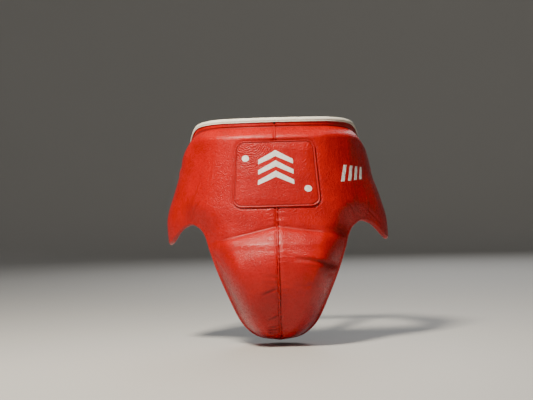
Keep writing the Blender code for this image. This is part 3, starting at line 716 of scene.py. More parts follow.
def leather(name, colour, shaded, roughness, coat, grain=1.0):
    """Smooth coated leather: fine pebble grain, break lines, uneven gloss, and painted shade in its folds, creases
    and seams.
    """
    f = Finish(name, Coat_Roughness=0.17, Specular_IOR_Level=0.33)
    fold = f.layer("fold")
    broad, mottle, hair = f.noise(28, 4), f.noise(210, 4), f.noise(1900, 2)
    pebble = f.cells(640, "SMOOTH_F1")
    streaks = f.noise(620, 3, 0.6, (1, 1, 0.16), 0.6)
    creased = f.noise(330, 5, 0.6, (1, 1, 1), 1.6)
    break_lines = ((creased - 0.5).size() * 9).least(1.0)
    tone = f.blend((broad * 0.55 + mottle * 0.35).span(0.28, 0.66), shaded, colour)
    # painted shade: the colour darkens to a fifth of the darker tone where the fold attribute marks creases, seams
    # and stitch grooves
    tone = f.blend((fold * 0.72).least(1.0), tone, tuple(c * 0.22 for c in shaded))
    gloss = roughness + mottle * 0.12 - 0.06 + hair * 0.06 + fold * 0.2 + (1 - break_lines) * 0.05
    bump = f.relief(pebble, 0.075 * grain)
    bump = f.relief(streaks, 0.09 * grain, bump)
    bump = f.relief(break_lines, 0.07 * grain, bump)
    bump = f.relief(mottle, 0.5 * grain, bump)
    bump = f.relief(f.noise(400, 4, 0.62), 0.85 * grain, bump)
    bump = f.relief(hair, 0.014 * grain, bump)
    f.set(Base_Color=tone, Roughness=gloss, Coat_Weight=coat - fold * coat * 0.8, Normal=bump)
    return f, bump


def patch_leather(name, colour, shaded, roughness, coat):
    """The badge's leather, with the fine curved ripples that its top left corner is drawn into."""
    f, grain = leather(name, colour, shaded, roughness, coat)
    u, z = f.cloth()
    wander = f.noise(60, 4)
    ring = ((u + 0.04) ** 2 + (z + 0.034) ** 2) ** 0.5
    wave = ((ring * 310 + wander * 6).wave() + 1) * 0.5
    near = ring.span(0.066, 0.02) * (u * -1).span(-0.004, 0.02)
    f.set(Normal=f.relief(wave**1.6 * near * (wander * 1.6), 0.85, grain))


def woven(name, warp, weft, pitch_mm, roughness, fuzz=0.3):
    """Plain cloth: over and under threads by the piece's own UVs."""
    f = Finish(name, Sheen_Weight=fuzz, Sheen_Roughness=0.5, Specular_IOR_Level=0.3)
    u, v = f.cloth()
    across, along = u / (pitch_mm * MM), v / (pitch_mm * MM)
    over = across.wave() * along.wave()
    warp_up = over.span(-0.2, 0.2)
    thread = (across * 2).wave().size() * warp_up + (along * 2).wave().size() * (1 - warp_up)
    wear = f.noise(40, 4)
    tone = f.blend(over.span(-0.5, 0.5), warp, weft)
    # painted shade: darker between the threads, where the bump is low
    tone = f.blend((1 - thread) * 0.5, tone, tuple(c * 0.35 for c in warp))
    bump = f.relief(wear, 0.4, f.relief(thread, 0.16))
    f.set(Base_Color=tone, Roughness=roughness + wear * 0.12 - 0.06, Normal=bump)


def elastic(name, colour, rib_mm, across=True, roughness=0.72):
    """Knitted elastic: ribs one way and fine picks the other, by the piece's own UVs."""
    f = Finish(name, Sheen_Weight=0.25, Sheen_Roughness=0.45, Specular_IOR_Level=0.35)
    u, v = f.cloth()
    rib_run, pick_run = (v, u) if across else (u, v)
    rib = (rib_run / (rib_mm * MM)).wave().size() ** 0.6
    picks = (pick_run / (0.55 * MM)).wave() * 0.5 + 0.5
    fibres = f.noise(2600, 2)
    wear = f.noise(60, 4)
    # partly painted shade in the rib grooves, partly random fibre tone
    tone = f.blend((rib * 0.6 + fibres * 0.4).span(0.25, 0.85), tuple(c * 0.3 for c in colour), colour)
    tone = f.blend(wear.span(0.5, 0.8) * 0.25, tone, tuple(min(c * 2.4 + 0.01, 1) for c in colour))
    bump = f.relief(picks * 0.35 + fibres * 0.3, 0.12, f.relief(rib, 0.3))
    f.set(Base_Color=tone, Roughness=roughness + wear * 0.1 - 0.05, Normal=bump)


def make_finishes(colours):
    red, deep = tuple(colours.leather), tuple(c * 0.72 for c in colours.leather)
    cream, black = tuple(colours.binding), tuple(colours.cloth)
    leather("red leather", red, deep, 0.23, 0.05)
    leather("red strap leather", red, deep, 0.36, 0.08, 1.2)
    patch_leather("badge leather", red, deep, 0.29, 0.1)
    # darker cream, both for wear and as the base of the painted shade in the binding's folds
    worn_and_shaded_cream = tuple(c * w for c, w in zip(cream, (0.86, 0.83, 0.76), strict=True))
    leather("cream binding leather", cream, worn_and_shaded_cream, 0.46, 0.12, 0.8)
    woven("lining nylon", black, tuple(c * 1.5 for c in black), 0.7, 0.68)
    woven("cup suede", (0.05, 0.047, 0.045), (0.062, 0.058, 0.055), 0.35, 0.9, 0.8)
    elastic("band elastic", (0.028, 0.028, 0.03), 1.9)
    elastic("leg elastic", (0.026, 0.026, 0.028), 1.3, across=False)
    elastic("keeper webbing", (0.024, 0.024, 0.026), 0.9, across=False, roughness=0.6)

    loop = Finish("loop pile", Sheen_Weight=0.9, Sheen_Roughness=0.4, Specular_IOR_Level=0.2)
    fuzz, curl = loop.noise(1500, 4, 0.7, warp=2.0), loop.noise(420, 3)
    loop.set(
        Base_Color=loop.blend(fuzz.span(0.3, 0.75), (0.008, 0.008, 0.009), (0.05, 0.05, 0.053)),
        Roughness=0.93 + fuzz * 0.04,
        Normal=loop.relief(fuzz * 0.7 + curl * 0.3, 0.5),
    )
    hook = Finish("hook tape", Specular_IOR_Level=0.5)
    u, v = hook.cloth()
    rows = ((u / (1.1 * MM)).wave() * (v / (1.3 * MM)).wave()).span(0.25, 0.8)
    hook.set(
        Base_Color=hook.blend(rows, (0.01, 0.01, 0.011), (0.04, 0.04, 0.042)),
        Roughness=0.42 + hook.noise(900) * 0.1,
        Normal=hook.relief(rows, 0.6),
    )
    nickel = Finish("nickel", Metallic=1.0)
    scuff, stain = nickel.noise(900, 4, 0.6, (1, 1, 0.15)), nickel.noise(70, 3)
    nickel.set(
        Base_Color=nickel.blend(stain.span(0.35, 0.8), (0.78, 0.76, 0.72), (0.6, 0.575, 0.53)),
        Roughness=0.13 + scuff * 0.12 + stain * 0.08,
        Normal=nickel.relief(scuff, 0.012),
    )
    plastic = Finish("slider plastic", Specular_IOR_Level=0.5)
    speck, drift = plastic.noise(2200, 2), plastic.noise(90, 3)
    plastic.set(
        Base_Color=plastic.blend(drift.span(0.3, 0.8), (0.014, 0.014, 0.015), (0.028, 0.028, 0.03)),
        Roughness=0.36 + speck * 0.12 + drift * 0.06,
        Normal=plastic.relief(speck, 0.02),
    )
    moulded = Finish("cup plastic", Specular_IOR_Level=0.5)
    speck, drift = moulded.noise(1800, 2), moulded.noise(60, 3)
    moulded.set(
        Base_Color=moulded.blend(drift.span(0.3, 0.8), (0.8, 0.79, 0.74), (0.7, 0.69, 0.63)),
        Roughness=0.36 + drift * 0.1,
        Normal=moulded.relief(speck, 0.02),
    )
    foil = Finish("silver foil", Specular_IOR_Level=0.6)
    crackle, grain = foil.cells(2300, "F1"), foil.noise(420, 4)
    foil.set(
        Base_Color=foil.blend(grain.span(0.35, 0.75), (0.83, 0.86, 0.83), (0.62, 0.66, 0.63)),
        Metallic=grain.span(0.3, 0.8) * 0.35,
        Roughness=0.36 + grain * 0.14,
        Normal=foil.relief(crackle, 0.05, foil.relief(grain, 0.12)),
    )
    for name, colour in (
        ("red thread", tuple(c * 0.5 for c in red)),
        ("cream thread", (0.68, 0.64, 0.55)),
        ("black thread", (0.014, 0.014, 0.015)),
    ):
        thread = Finish(name, Sheen_Weight=0.3, Sheen_Roughness=0.5)
        ply = thread.noise(3600, 2)
        thread.set(
            Base_Color=thread.blend(ply.span(0.3, 0.7), tuple(c * 0.55 for c in colour), colour),
            Roughness=0.6 + ply * 0.15,
            Normal=thread.relief(ply, 0.08),
        )
    floor = Finish("pale floor")
    cloud = floor.noise(1.3, 3)
    floor.set(
        Base_Color=floor.blend(cloud, (0.43, 0.43, 0.425), (0.46, 0.46, 0.455)),
        Roughness=0.62 + cloud * 0.05,
    )


# ---- front pad -------------------------------------------------------------------------------------------

ARC = np.linspace(math.pi, 0, 12)[1:-1]
WRAP = [(10, 0.0), (EDGE_RADIUS, 0.0)] + [
    (EDGE_RADIUS * (1 - math.sin(t)), EDGE_RADIUS * (1 + math.cos(t))) for t in ARC
]


def eased(count, ease):
    """Even steps from 0 to 1, drawn closer together at both ends by that share."""
    even = np.linspace(0, 1, count)
    return even * (1 - ease) + ease * (0.5 - 0.5 * np.cos(np.pi * even))


class PROTECTOR_OT_front_pad(bpy.types.Operator):
    """Left and right leather panels over the belly, cup and hip foam"""

    bl_idname = "protector.front_pad"
    bl_label = "Front pad"

    def execute(self, context):
        columns, rows = 168, 262
        hidden = {"right": ("belly_foam", "hip_foam_right"), "left": ("cup_foam", "hip_foam_left")}
        for word, side in SIDES:
            piece, a, b = grid(f"pad_leather_{word}", columns, rows + len(WRAP) - 1)
            share = PANEL_END * eased(columns + 1, 0.28)
            k = step(a, columns)
            k = k if side > 0 else columns - k
            s = share[k]
            row = step(b, rows + len(WRAP) - 1)
            low_u, low_z = inset_lower(s, np.full(len(s), EDGE_RADIUS))
            top_u = top_of(s)
            bottoms = inset_lower(share, np.full(columns + 1, EDGE_RADIUS))[1][:, None]
            tops = upper_height(top_of(share))[:, None]
            heights = bottoms + (tops - bottoms) * eased(rows, 0.45)
            z = heights[k, np.maximum(row - len(WRAP), 0)]
            t = (z - low_z) / (upper_height(top_u) - low_z)
            u = np.maximum(low_u + (top_u - low_u) * t, SEAM_GAP)
            # fold here is the painted shade of the leather's folds and seams; the turned edge gets none
            h, fold = skin(side * u, z, side)
            for r, (inset, height) in enumerate(WRAP):
                turned = row == r
                wrap_u, wrap_z = inset_lower(s[turned], np.full(turned.sum(), inset))
                u[turned], z[turned], h[turned] = np.maximum(wrap_u, SEAM_GAP), wrap_z, height
                fold[turned] = 0.0
            shape(piece, lift(side * u, z, h), side * u, z, fold)
            give_thickness(piece, LEATHER, -1)
            soften(piece, 60)
            done(piece, "red leather", "root", (f"front_panel_{word}", *hidden[word]))
        self.seam()
        self.flange_stitches()
        return {"FINISHED"}

    def seam(self):
        """The piped welt of the centre seam, with the thread's nips along it."""
        count, around = 420, 14
        z = np.linspace(-9, TONGUE_TIP + 6, count)
        inner = skin(np.full(count, 1.6), z, 1)[0]
        height = np.maximum(inner, 4.5) + 0.55 + 0.12 * ripple(z, 8.5, 2.3)
        spine = lift(np.zeros(count), z, height)
        normal = outward(np.zeros(count), z)
        piece, a, b = grid("seam_welt", around, count - 1)
        row = step(b, count - 1)
        turn = a * 2 * np.pi
        thick = 1.25 * (1 + 0.07 * ripple(z, 3.1, 0.5))[row]
        spots = spine[row] + normal[row] * (np.sin(turn) * thick)[:, None]
        spots[:, 0] += np.cos(turn) * thick
        # the last value is painted shade on the welt's underside, next to the pad
        shape(piece, spots, turn, z[row], 0.12 * (np.sin(turn) < -0.2))
        close_up(piece)
        soften(piece, 60)
        done(piece, "red leather", "root", ("centre_welt",))

    def flange_stitches(self):
        """Thread along the channel below the waist binding."""
        for word, side in SIDES:
            u = np.linspace(4, 250, 400)
            z = upper_height(u) - CHANNEL * np.sqrt(1 + np.gradient(upper_height(u), u) ** 2)
            h = skin(side * u, z, side)[0]
            points = lift(side * u, z, h)
            name = f"flange_stitches_{word}"
            sew(name, points, outward(side * u, z), PAD_STITCH, "red thread", "root")


class PROTECTOR_OT_lining(bpy.types.Operator):
    """Nylon lining on the wearer's side, open over the cup"""

    bl_idname = "protector.lining"
    bl_label = "Lining"

    def execute(self, context):
        columns, rows = 260, 120
        piece, a, b = grid("inner_lining", columns, rows)
        half = np.linspace(0, PANEL_END, columns // 2 + 1)
        k = np.abs(step(a, columns) - columns // 2)
        side = np.where(a < 0.5, -1.0, 1.0)
        s = half[k]
        low_u, low_z = inset_lower(s, np.full(len(s), LINING_INSET))
        top_u = top_of(s)
        z = low_z + (upper_height(top_u) - low_z) * b
        u = side * (low_u + (top_u - low_u) * b)
        low, top, end = edges_of(u, z)
        tucked = smooth((low - 8) / 4)
        h = -0.5 * tucked - 0.25 * slack(u, z, 1.9) * smooth((low - 12) / 20) * smooth((top - 10) / 20) + 0.2
        h -= 0.25 * ripple(u + z, 9, 1.1) * bell(low - 13, 4)
        rim_x, rim_y = self.in_cup(u, z)
        reach = np.hypot(rim_x, rim_y)
        near = (reach > 0.94) & (reach < 0.985)
        factor = np.where(near, 0.985 / reach, 1.0)
        u2, z2 = cup_spot(rim_x * factor, rim_y * factor)
        u, z = np.where(near, u2, u), np.where(near, z2, z)
        shape(piece, lift(u, z, h), u, z)
        hole = np.hypot(*self.in_cup(u, z)) < 0.96
        pick(piece)
        bpy.ops.object.mode_set(mode="EDIT")
        bpy.ops.mesh.select_mode(type="VERT")
        bpy.ops.mesh.select_all(action="DESELECT")
        bpy.ops.object.mode_set(mode="OBJECT")
        piece.data.vertices.foreach_set("select", hole)
        bpy.ops.object.mode_set(mode="EDIT")
        bpy.ops.mesh.delete(type="VERT")
        bpy.ops.object.mode_set(mode="OBJECT")
        give_thickness(piece, 0.9, 1)
        soften(piece, 60)
        done(piece, "lining nylon", "root", ("lining_right", "lining_left"))
        share = np.linspace(0, 0.985, 500)
        for word, way in SIDES:
            edge_u, edge_z = inset_lower(share, np.full(500, LINING_SEAM))
            points = lift(way * edge_u, edge_z, np.full(500, -0.45))
            inside = -outward(way * edge_u, edge_z)
            sew(f"lining_stitches_{word}", points, inside, PAD_STITCH, "black thread", "root")
        return {"FINISHED"}

    @staticmethod
    def in_cup(u, z):
        y = (z - CUP_CENTRE) / CUP_HALF_HEIGHT
        return u / (CUP_HALF_WIDTH * (1 + CUP_PEAR * np.clip(y, -1.5, 1.5))), y


def cup_spot(x, y):
    return CUP_HALF_WIDTH * x * (1 + CUP_PEAR * np.clip(y, -1.5, 1.5)), CUP_CENTRE + CUP_HALF_HEIGHT * y


class PROTECTOR_OT_binding(bpy.types.Operator):
    """Cream binding folded over the waist edge, and the caps on the wings' ends"""

    bl_idname = "protector.binding"
    bl_label = "Binding"

    def execute(self, context):
        self.waist()
        for word, side in SIDES:
            self.end_cap(word, side)
        return {"FINISHED"}

    @staticmethod
    def profile(count):
        """The folded strip's section: rise above the edge, and height, from the outside in."""
        turn = np.linspace(0, 1, count)
        arc = np.clip((turn - 0.4) / 0.2, 0, 1) * np.pi
        outer_leg, inner_leg = -5.2 + turn / 0.4 * 5.4, -7 + (1 - turn) / 0.4 * 7.2
        rise = np.where(turn < 0.4, outer_leg, np.where(turn > 0.6, inner_leg, 0.2 + 1.25 * np.sin(arc)))
        outer, inner = FLANGE + 1.0, -0.95
        middle, reach = (outer + inner) / 2, (outer - inner) / 2
        height = middle + reach * np.cos(arc)
        plump = np.where(turn < 0.4, 0.55 * np.sin(turn / 0.4 * np.pi), 0)
        return rise, height + plump

    def waist(self):
        columns, rows = 620, 26
        piece, a, b = grid("edge_binding", columns, rows)
        rise, height = self.profile(rows + 1)
        row = step(1 - b, rows)
        share = (2 * a - 1) * 0.978
        u = np.sign(share) * top_of(np.abs(share))
        nip = ripple(u, 5.2, 0.8)
        outer_leg = row < rows * 0.4
        h = height[row] + np.where(outer_leg, 0.16 * nip * bell(rise[row] + 3.6, 2.2), 0)
        h -= np.where(outer_leg, 0.5 * bell(rise[row] + BINDING_SEAM, 0.6), 0)
        z = upper_height(u) + rise[row] + 0.12 * ripple(u, 23, 1.7) * (rise[row] > -6)
        # the last value is painted shade along the binding's stitch groove
        shape(
            piece, lift(u, z, h), u, rise[row] + height[row],
            np.where(outer_leg, 0.45 * bell(rise[row] + BINDING_SEAM, 0.7), 0),
        )
        give_thickness(piece, BINDING_LEATHER, 0)
        soften(piece, 60)
        done(piece, "cream binding leather", "root", ("waist_binding",))
        u = np.linspace(-252, 252, 900)
        z = upper_height(u) - BINDING_SEAM
        points = lift(u, z, np.full(900, FLANGE + 1.15))
        sew("binding_stitches", points, outward(u, z), BINDING_STITCH, "cream thread", "root")

    def end_cap(self, word, side):
        columns, rows = 26, 90
        piece, a, b = grid(f"wing_cap_{word}", columns, rows)
        rise, height = self.profile(columns + 1)
        k = step(a if side < 0 else 1 - a, columns)
        z = -117 + 57 * b
        u = END_U + 1.1 + rise[k]
        h = height[k] + 0.14 * ripple(z, 5.4, 0.6) * (k < columns * 0.4)
        # the last value is painted shade along the cap's seam line
        shape(
            piece, lift(side * u, z, h), rise[k] + height[k], z,
            np.where(k < columns * 0.4, 0.5 * bell(rise[k] + BINDING_SEAM, 0.8), 0),
        )
        give_thickness(piece, BINDING_LEATHER, 0)
        soften(piece, 60)
        done(piece, "red strap leather", "root", (f"wing_end_cap_{word}",))


class PROTECTOR_OT_badge(bpy.types.Operator):
    """Rounded leather patch sewn on the belly, with its rolled edge and plain foil marks"""

    bl_idname = "protector.badge"
    bl_label = "Badge patch"

    def execute(self, context):
        self.patch()
        self.marks()
        return {"FINISHED"}

    @staticmethod
    def crown(inset):
        """Height of the patch's middle over the pad, at distances in from its edge."""
        return 0.95 + 1.3 * quarter((inset - 1.7) / 16)

    @staticmethod
    def unevenness(u, z):
        return 0.15 * slack(u * 1.7, z * 1.7, 0.2)

    @staticmethod
    def outline(inset, count):
        """Points of the patch's rounded outline drawn in by a distance, anticlockwise from the lower right."""
        centre = (PATCH_TOP + PATCH_BOTTOM) / 2
        half_u, half_z = PATCH_HALF_WIDTH - inset, (PATCH_TOP - PATCH_BOTTOM) / 2 - inset
        radius = max(min(PATCH_CORNER - inset * 0.8, half_u, half_z), 0.0)
        long_u, long_z = half_u - radius, half_z - radius
        bend = math.pi / 2 * PATCH_CORNER * 0.9
        lengths = np.array([2 * PATCH_HALF_WIDTH, bend, 88, bend] * 2, float)
        starts = np.concatenate([[0], np.cumsum(lengths)])
        spot = (np.arange(count) + 0.5) / count * starts[-1]
        leg = np.clip(np.searchsorted(starts, spot, side="right") - 1, 0, 7)
        share = (spot - starts[leg]) / lengths[leg]
        # Each side's start and run, and the centre of the corner that follows it
        sides = (
            ((-long_u, -half_z), (2 * long_u, 0), (long_u, -long_z)),
            ((half_u, -long_z), (0, 2 * long_z), (long_u, long_z)),
            ((long_u, half_z), (-2 * long_u, 0), (-long_u, long_z)),
            ((-half_u, long_z), (0, -2 * long_z), (-long_u, -long_z)),
        )
        out = np.zeros((count, 2))
        for n, (start, run, middle) in enumerate(np.array(sides)):
            straight, turning = leg == 2 * n, leg == 2 * n + 1
            out[straight] = start + share[straight, None] * run
            angle = (n - 1 + share[turning]) * math.pi / 2
            out[turning] = middle + radius * np.stack([np.cos(angle), np.sin(angle)], axis=1)
        return out[:, 0], out[:, 1] + centre

    def patch(self):
        turned_under, edge = [3.2, 1.4, 0.0], np.linspace(0.12, 4.2, 26)
        insets = np.concatenate([turned_under, edge, np.linspace(5, 14, 10), np.linspace(16, 51.4, 24)])
        roll = 0.35 + 1.3 * np.sqrt(np.maximum(1 - ((insets - PATCH_ROLL) / PATCH_ROLL) ** 2, 0))
        lifts = np.where(insets < 2 * PATCH_ROLL, roll, self.crown(insets) - 0.4 * bell(insets - PATCH_SEAM, 0.6))
        lifts[:2] = -0.35
        count = 560
        piece, a, b = grid("badge_leather", count, len(insets) - 1)
        ring = step(b, len(insets) - 1)
        place = step(a, count) % count
        rings = [self.outline(e, count) for e in insets]
        u = np.array([r[0] for r in rings])[ring, place]
        z = np.array([r[1] for r in rings])[ring, place]
        e = insets[ring]
        around = place / count * 340
        nips = 0.16 * ripple(around, 3.4, 0.3) * np.where(ring > 2, bell(e - PATCH_SEAM, 1.3), 0)
        gathers = 0.16 * ripple(around, 9.5, 1.2) * np.where(ring > 2, bell(e - 7, 4), 0)
        h = pad(u, z) + lifts[ring] + nips + gathers + self.unevenness(u, z) * (e > 8)
        # the last value is painted shade in the stitch groove and on the turned-under edge
        shape(piece, lift(u, z, h), u, z, np.where(ring > 2, 0.8 * bell(e - PATCH_SEAM, 0.6), 0.75))
        edit(
            piece,
            (bpy.ops.mesh.remove_doubles, {"threshold": 0.03 * MM}),
            (bpy.ops.mesh.normals_make_consistent, {"inside": False}),
        )
        face(piece, -1)
        give_thickness(piece, 0.5, -1)
        soften(piece, 60)
        done(piece, "badge leather", "root", ("badge_patch", "badge_piping"))
        su, sz = self.outline(PATCH_SEAM, 1400)
        su, sz = np.append(su, su[0]), np.append(sz, sz[0])
        points = lift(su, sz, pad(su, sz) + 0.62)
        sew("badge_stitches", points, outward(su, sz), BADGE_STITCH, "red thread", "root")

    def marks(self):
        """Three plain chevrons and two dots on the patch, and four slanted bars on the right hip."""
        for k, top in enumerate((-61, -77, -93)):
            piece, a, b = grid(f"badge_chevron_{k + 1}", 64, 8)
            arm = np.abs(2 * a - 1)
            u = (2 * a - 1) * 25
            z = top - 9 + 9 * (1 - arm) * 1.5 - (b - 0.5) * (9.5 - 2.5 * arm)
            self.foil(piece, u, z, self.on_patch(u, z))
        for word, u0, z0 in (("left", -43, -64), ("right", 43, -113)):
            deselect()
            bpy.ops.mesh.primitive_circle_add(vertices=40, radius=1, fill_type="TRIFAN")
            piece = named(f"badge_dot_{word}")
            flat = points_of(piece)
            u, z = u0 + flat[:, 0] * 5, z0 + flat[:, 1] * 5
            self.foil(piece, u, z, self.on_patch(u, z))
        for k, u0 in enumerate((97, 109, 121, 133)):
            piece, a, b = grid(f"hip_bar_{k + 1}", 10, 26)
            z = -91 + (b - 0.5) * (26 - 2 * k)
            u = u0 + (a - 0.5) * 5.5 + (b - 0.5) * 9
            self.foil(piece, u, z, skin(u, z, 1)[0] + 0.12)

    def on_patch(self, u, z):
        """Just above the patch's leather."""
        return pad(u, z) + self.crown(-patch_border(u, z)) + self.unevenness(u, z) + 0.16

    def foil(self, piece, u, z, h):
        shape(piece, lift(u, z, h), u, z)
        face(piece, -1)
        give_thickness(piece, 0.3, -1)
        soften(piece, 40)
        done(piece, "silver foil", "root")


class PROTECTOR_OT_cup(bpy.types.Operator):
    """Cup: plastic shell, suede lining with its vent dimples, and the padded roll round the rim"""

    bl_idname = "protector.cup"
    bl_label = "Cup"

    def execute(self, context):
        self.lining()
        self.roll()
        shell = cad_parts["cup_shell"]
        shell.data.materials.clear()
        shell.data.materials.append(bpy.data.materials["cup plastic"])
        return {"FINISHED"}

    def lining(self):
        deselect()
        bpy.ops.mesh.primitive_uv_sphere_add(segments=120, ring_count=96, radius=1)
        piece = named("cup_inner")
        edit(piece, (bpy.ops.mesh.bisect, {"plane_co": (0, 0, 0), "plane_no": (0, 0, 1), "clear_inner": True}))
        ball = points_of(piece)
        x, y, up = ball[:, 0] * 0.95, ball[:, 1] * 0.95, ball[:, 2]
        u, z = cup_spot(x, y)
        vents = np.zeros(len(up))
        for vent_x, vent_y in [(i * 0.2, j * 0.2) for i in (-1, 0, 1) for j in (-2, -1, 0, 1, 2)]:
            vents = np.maximum(vents, bell(np.hypot(x - vent_x, y - vent_y), 0.045))
        h = CUP_LIFT - 1.0 + (CUP_DEPTH - 1.4) * up + 0.9 * vents
        shape(piece, lift(u, z, h), u, z)
        face(piece, 1)
        give_thickness(piece, 0.8, -1)
        soften(piece, 60)
        done(piece, "cup suede", "root", ("cup_liner",))

    def roll(self):
        piece, ring = donut_of("cup_rim_cushion", 220, 22)
        around = np.arctan2(ring[:, 1], ring[:, 0])
        radial = np.hypot(ring[:, 0], ring[:, 1])
        across, up = (radial - 1) / 0.25, ring[:, 2] / 0.25
        pinch = 1 + 0.035 * ripple(around * 60, 9.3, 0.4)
        u0, z0 = cup_spot(1.02 * np.cos(around), 1.02 * np.sin(around))
        u1, z1 = cup_spot(1.06 * np.cos(around), 1.06 * np.sin(around))
        base, outer = lift(u0, z0, -RIM_ROLL - 2.1), lift(u1, z1, -RIM_ROLL - 2.1)
        away = unit(outer - base)
        size = (RIM_ROLL + 0.6) * pinch
        spots = base + away * (across * size)[:, None] + outward(u0, z0) * (up * size)[:, None]
        shape(piece, spots, around * 60, (np.arctan2(up, across)) * RIM_ROLL)
        edit(piece, (bpy.ops.mesh.normals_make_consistent, {"inside": False}))
        soften(piece, 60)
        done(piece, "lining nylon", "root", ("cup_rim_roll",))


# ---- closures and band -----------------------------------------------------------------------------------


class EndPlane:
    """The upright plane tangent to one wing's end: a runs rearward along it and b outward, in millimetres."""

    def __init__(self, side):
        girths = side * (WING_END + np.array([-1.0, 0, 1]))
        before, self.origin, after = on_body(girths, np.full(3, float(BAND_LEVEL)))
        self.rearward = unit(after - before)
        self.outward = np.array([self.rearward[1], -self.rearward[0], 0]) * side

    def at(self, a, b, z=BAND_LEVEL):
        spot = self.origin + self.rearward * a + self.outward * b
        return np.array([spot[0], spot[1], z])


def upright(points, height):
    """Pairs of lower and upper edge points of a strap standing on edge along plan points."""
    drop = np.array([0, 0, height / 2])
    return [(np.asarray(p) - drop, np.asarray(p) + drop) for p in points]


def over_wing(side, u, z, stack):
    held = np.minimum(u, TAB_START - 6)
    return lift(side * u, z, pad(held, z) + stack)


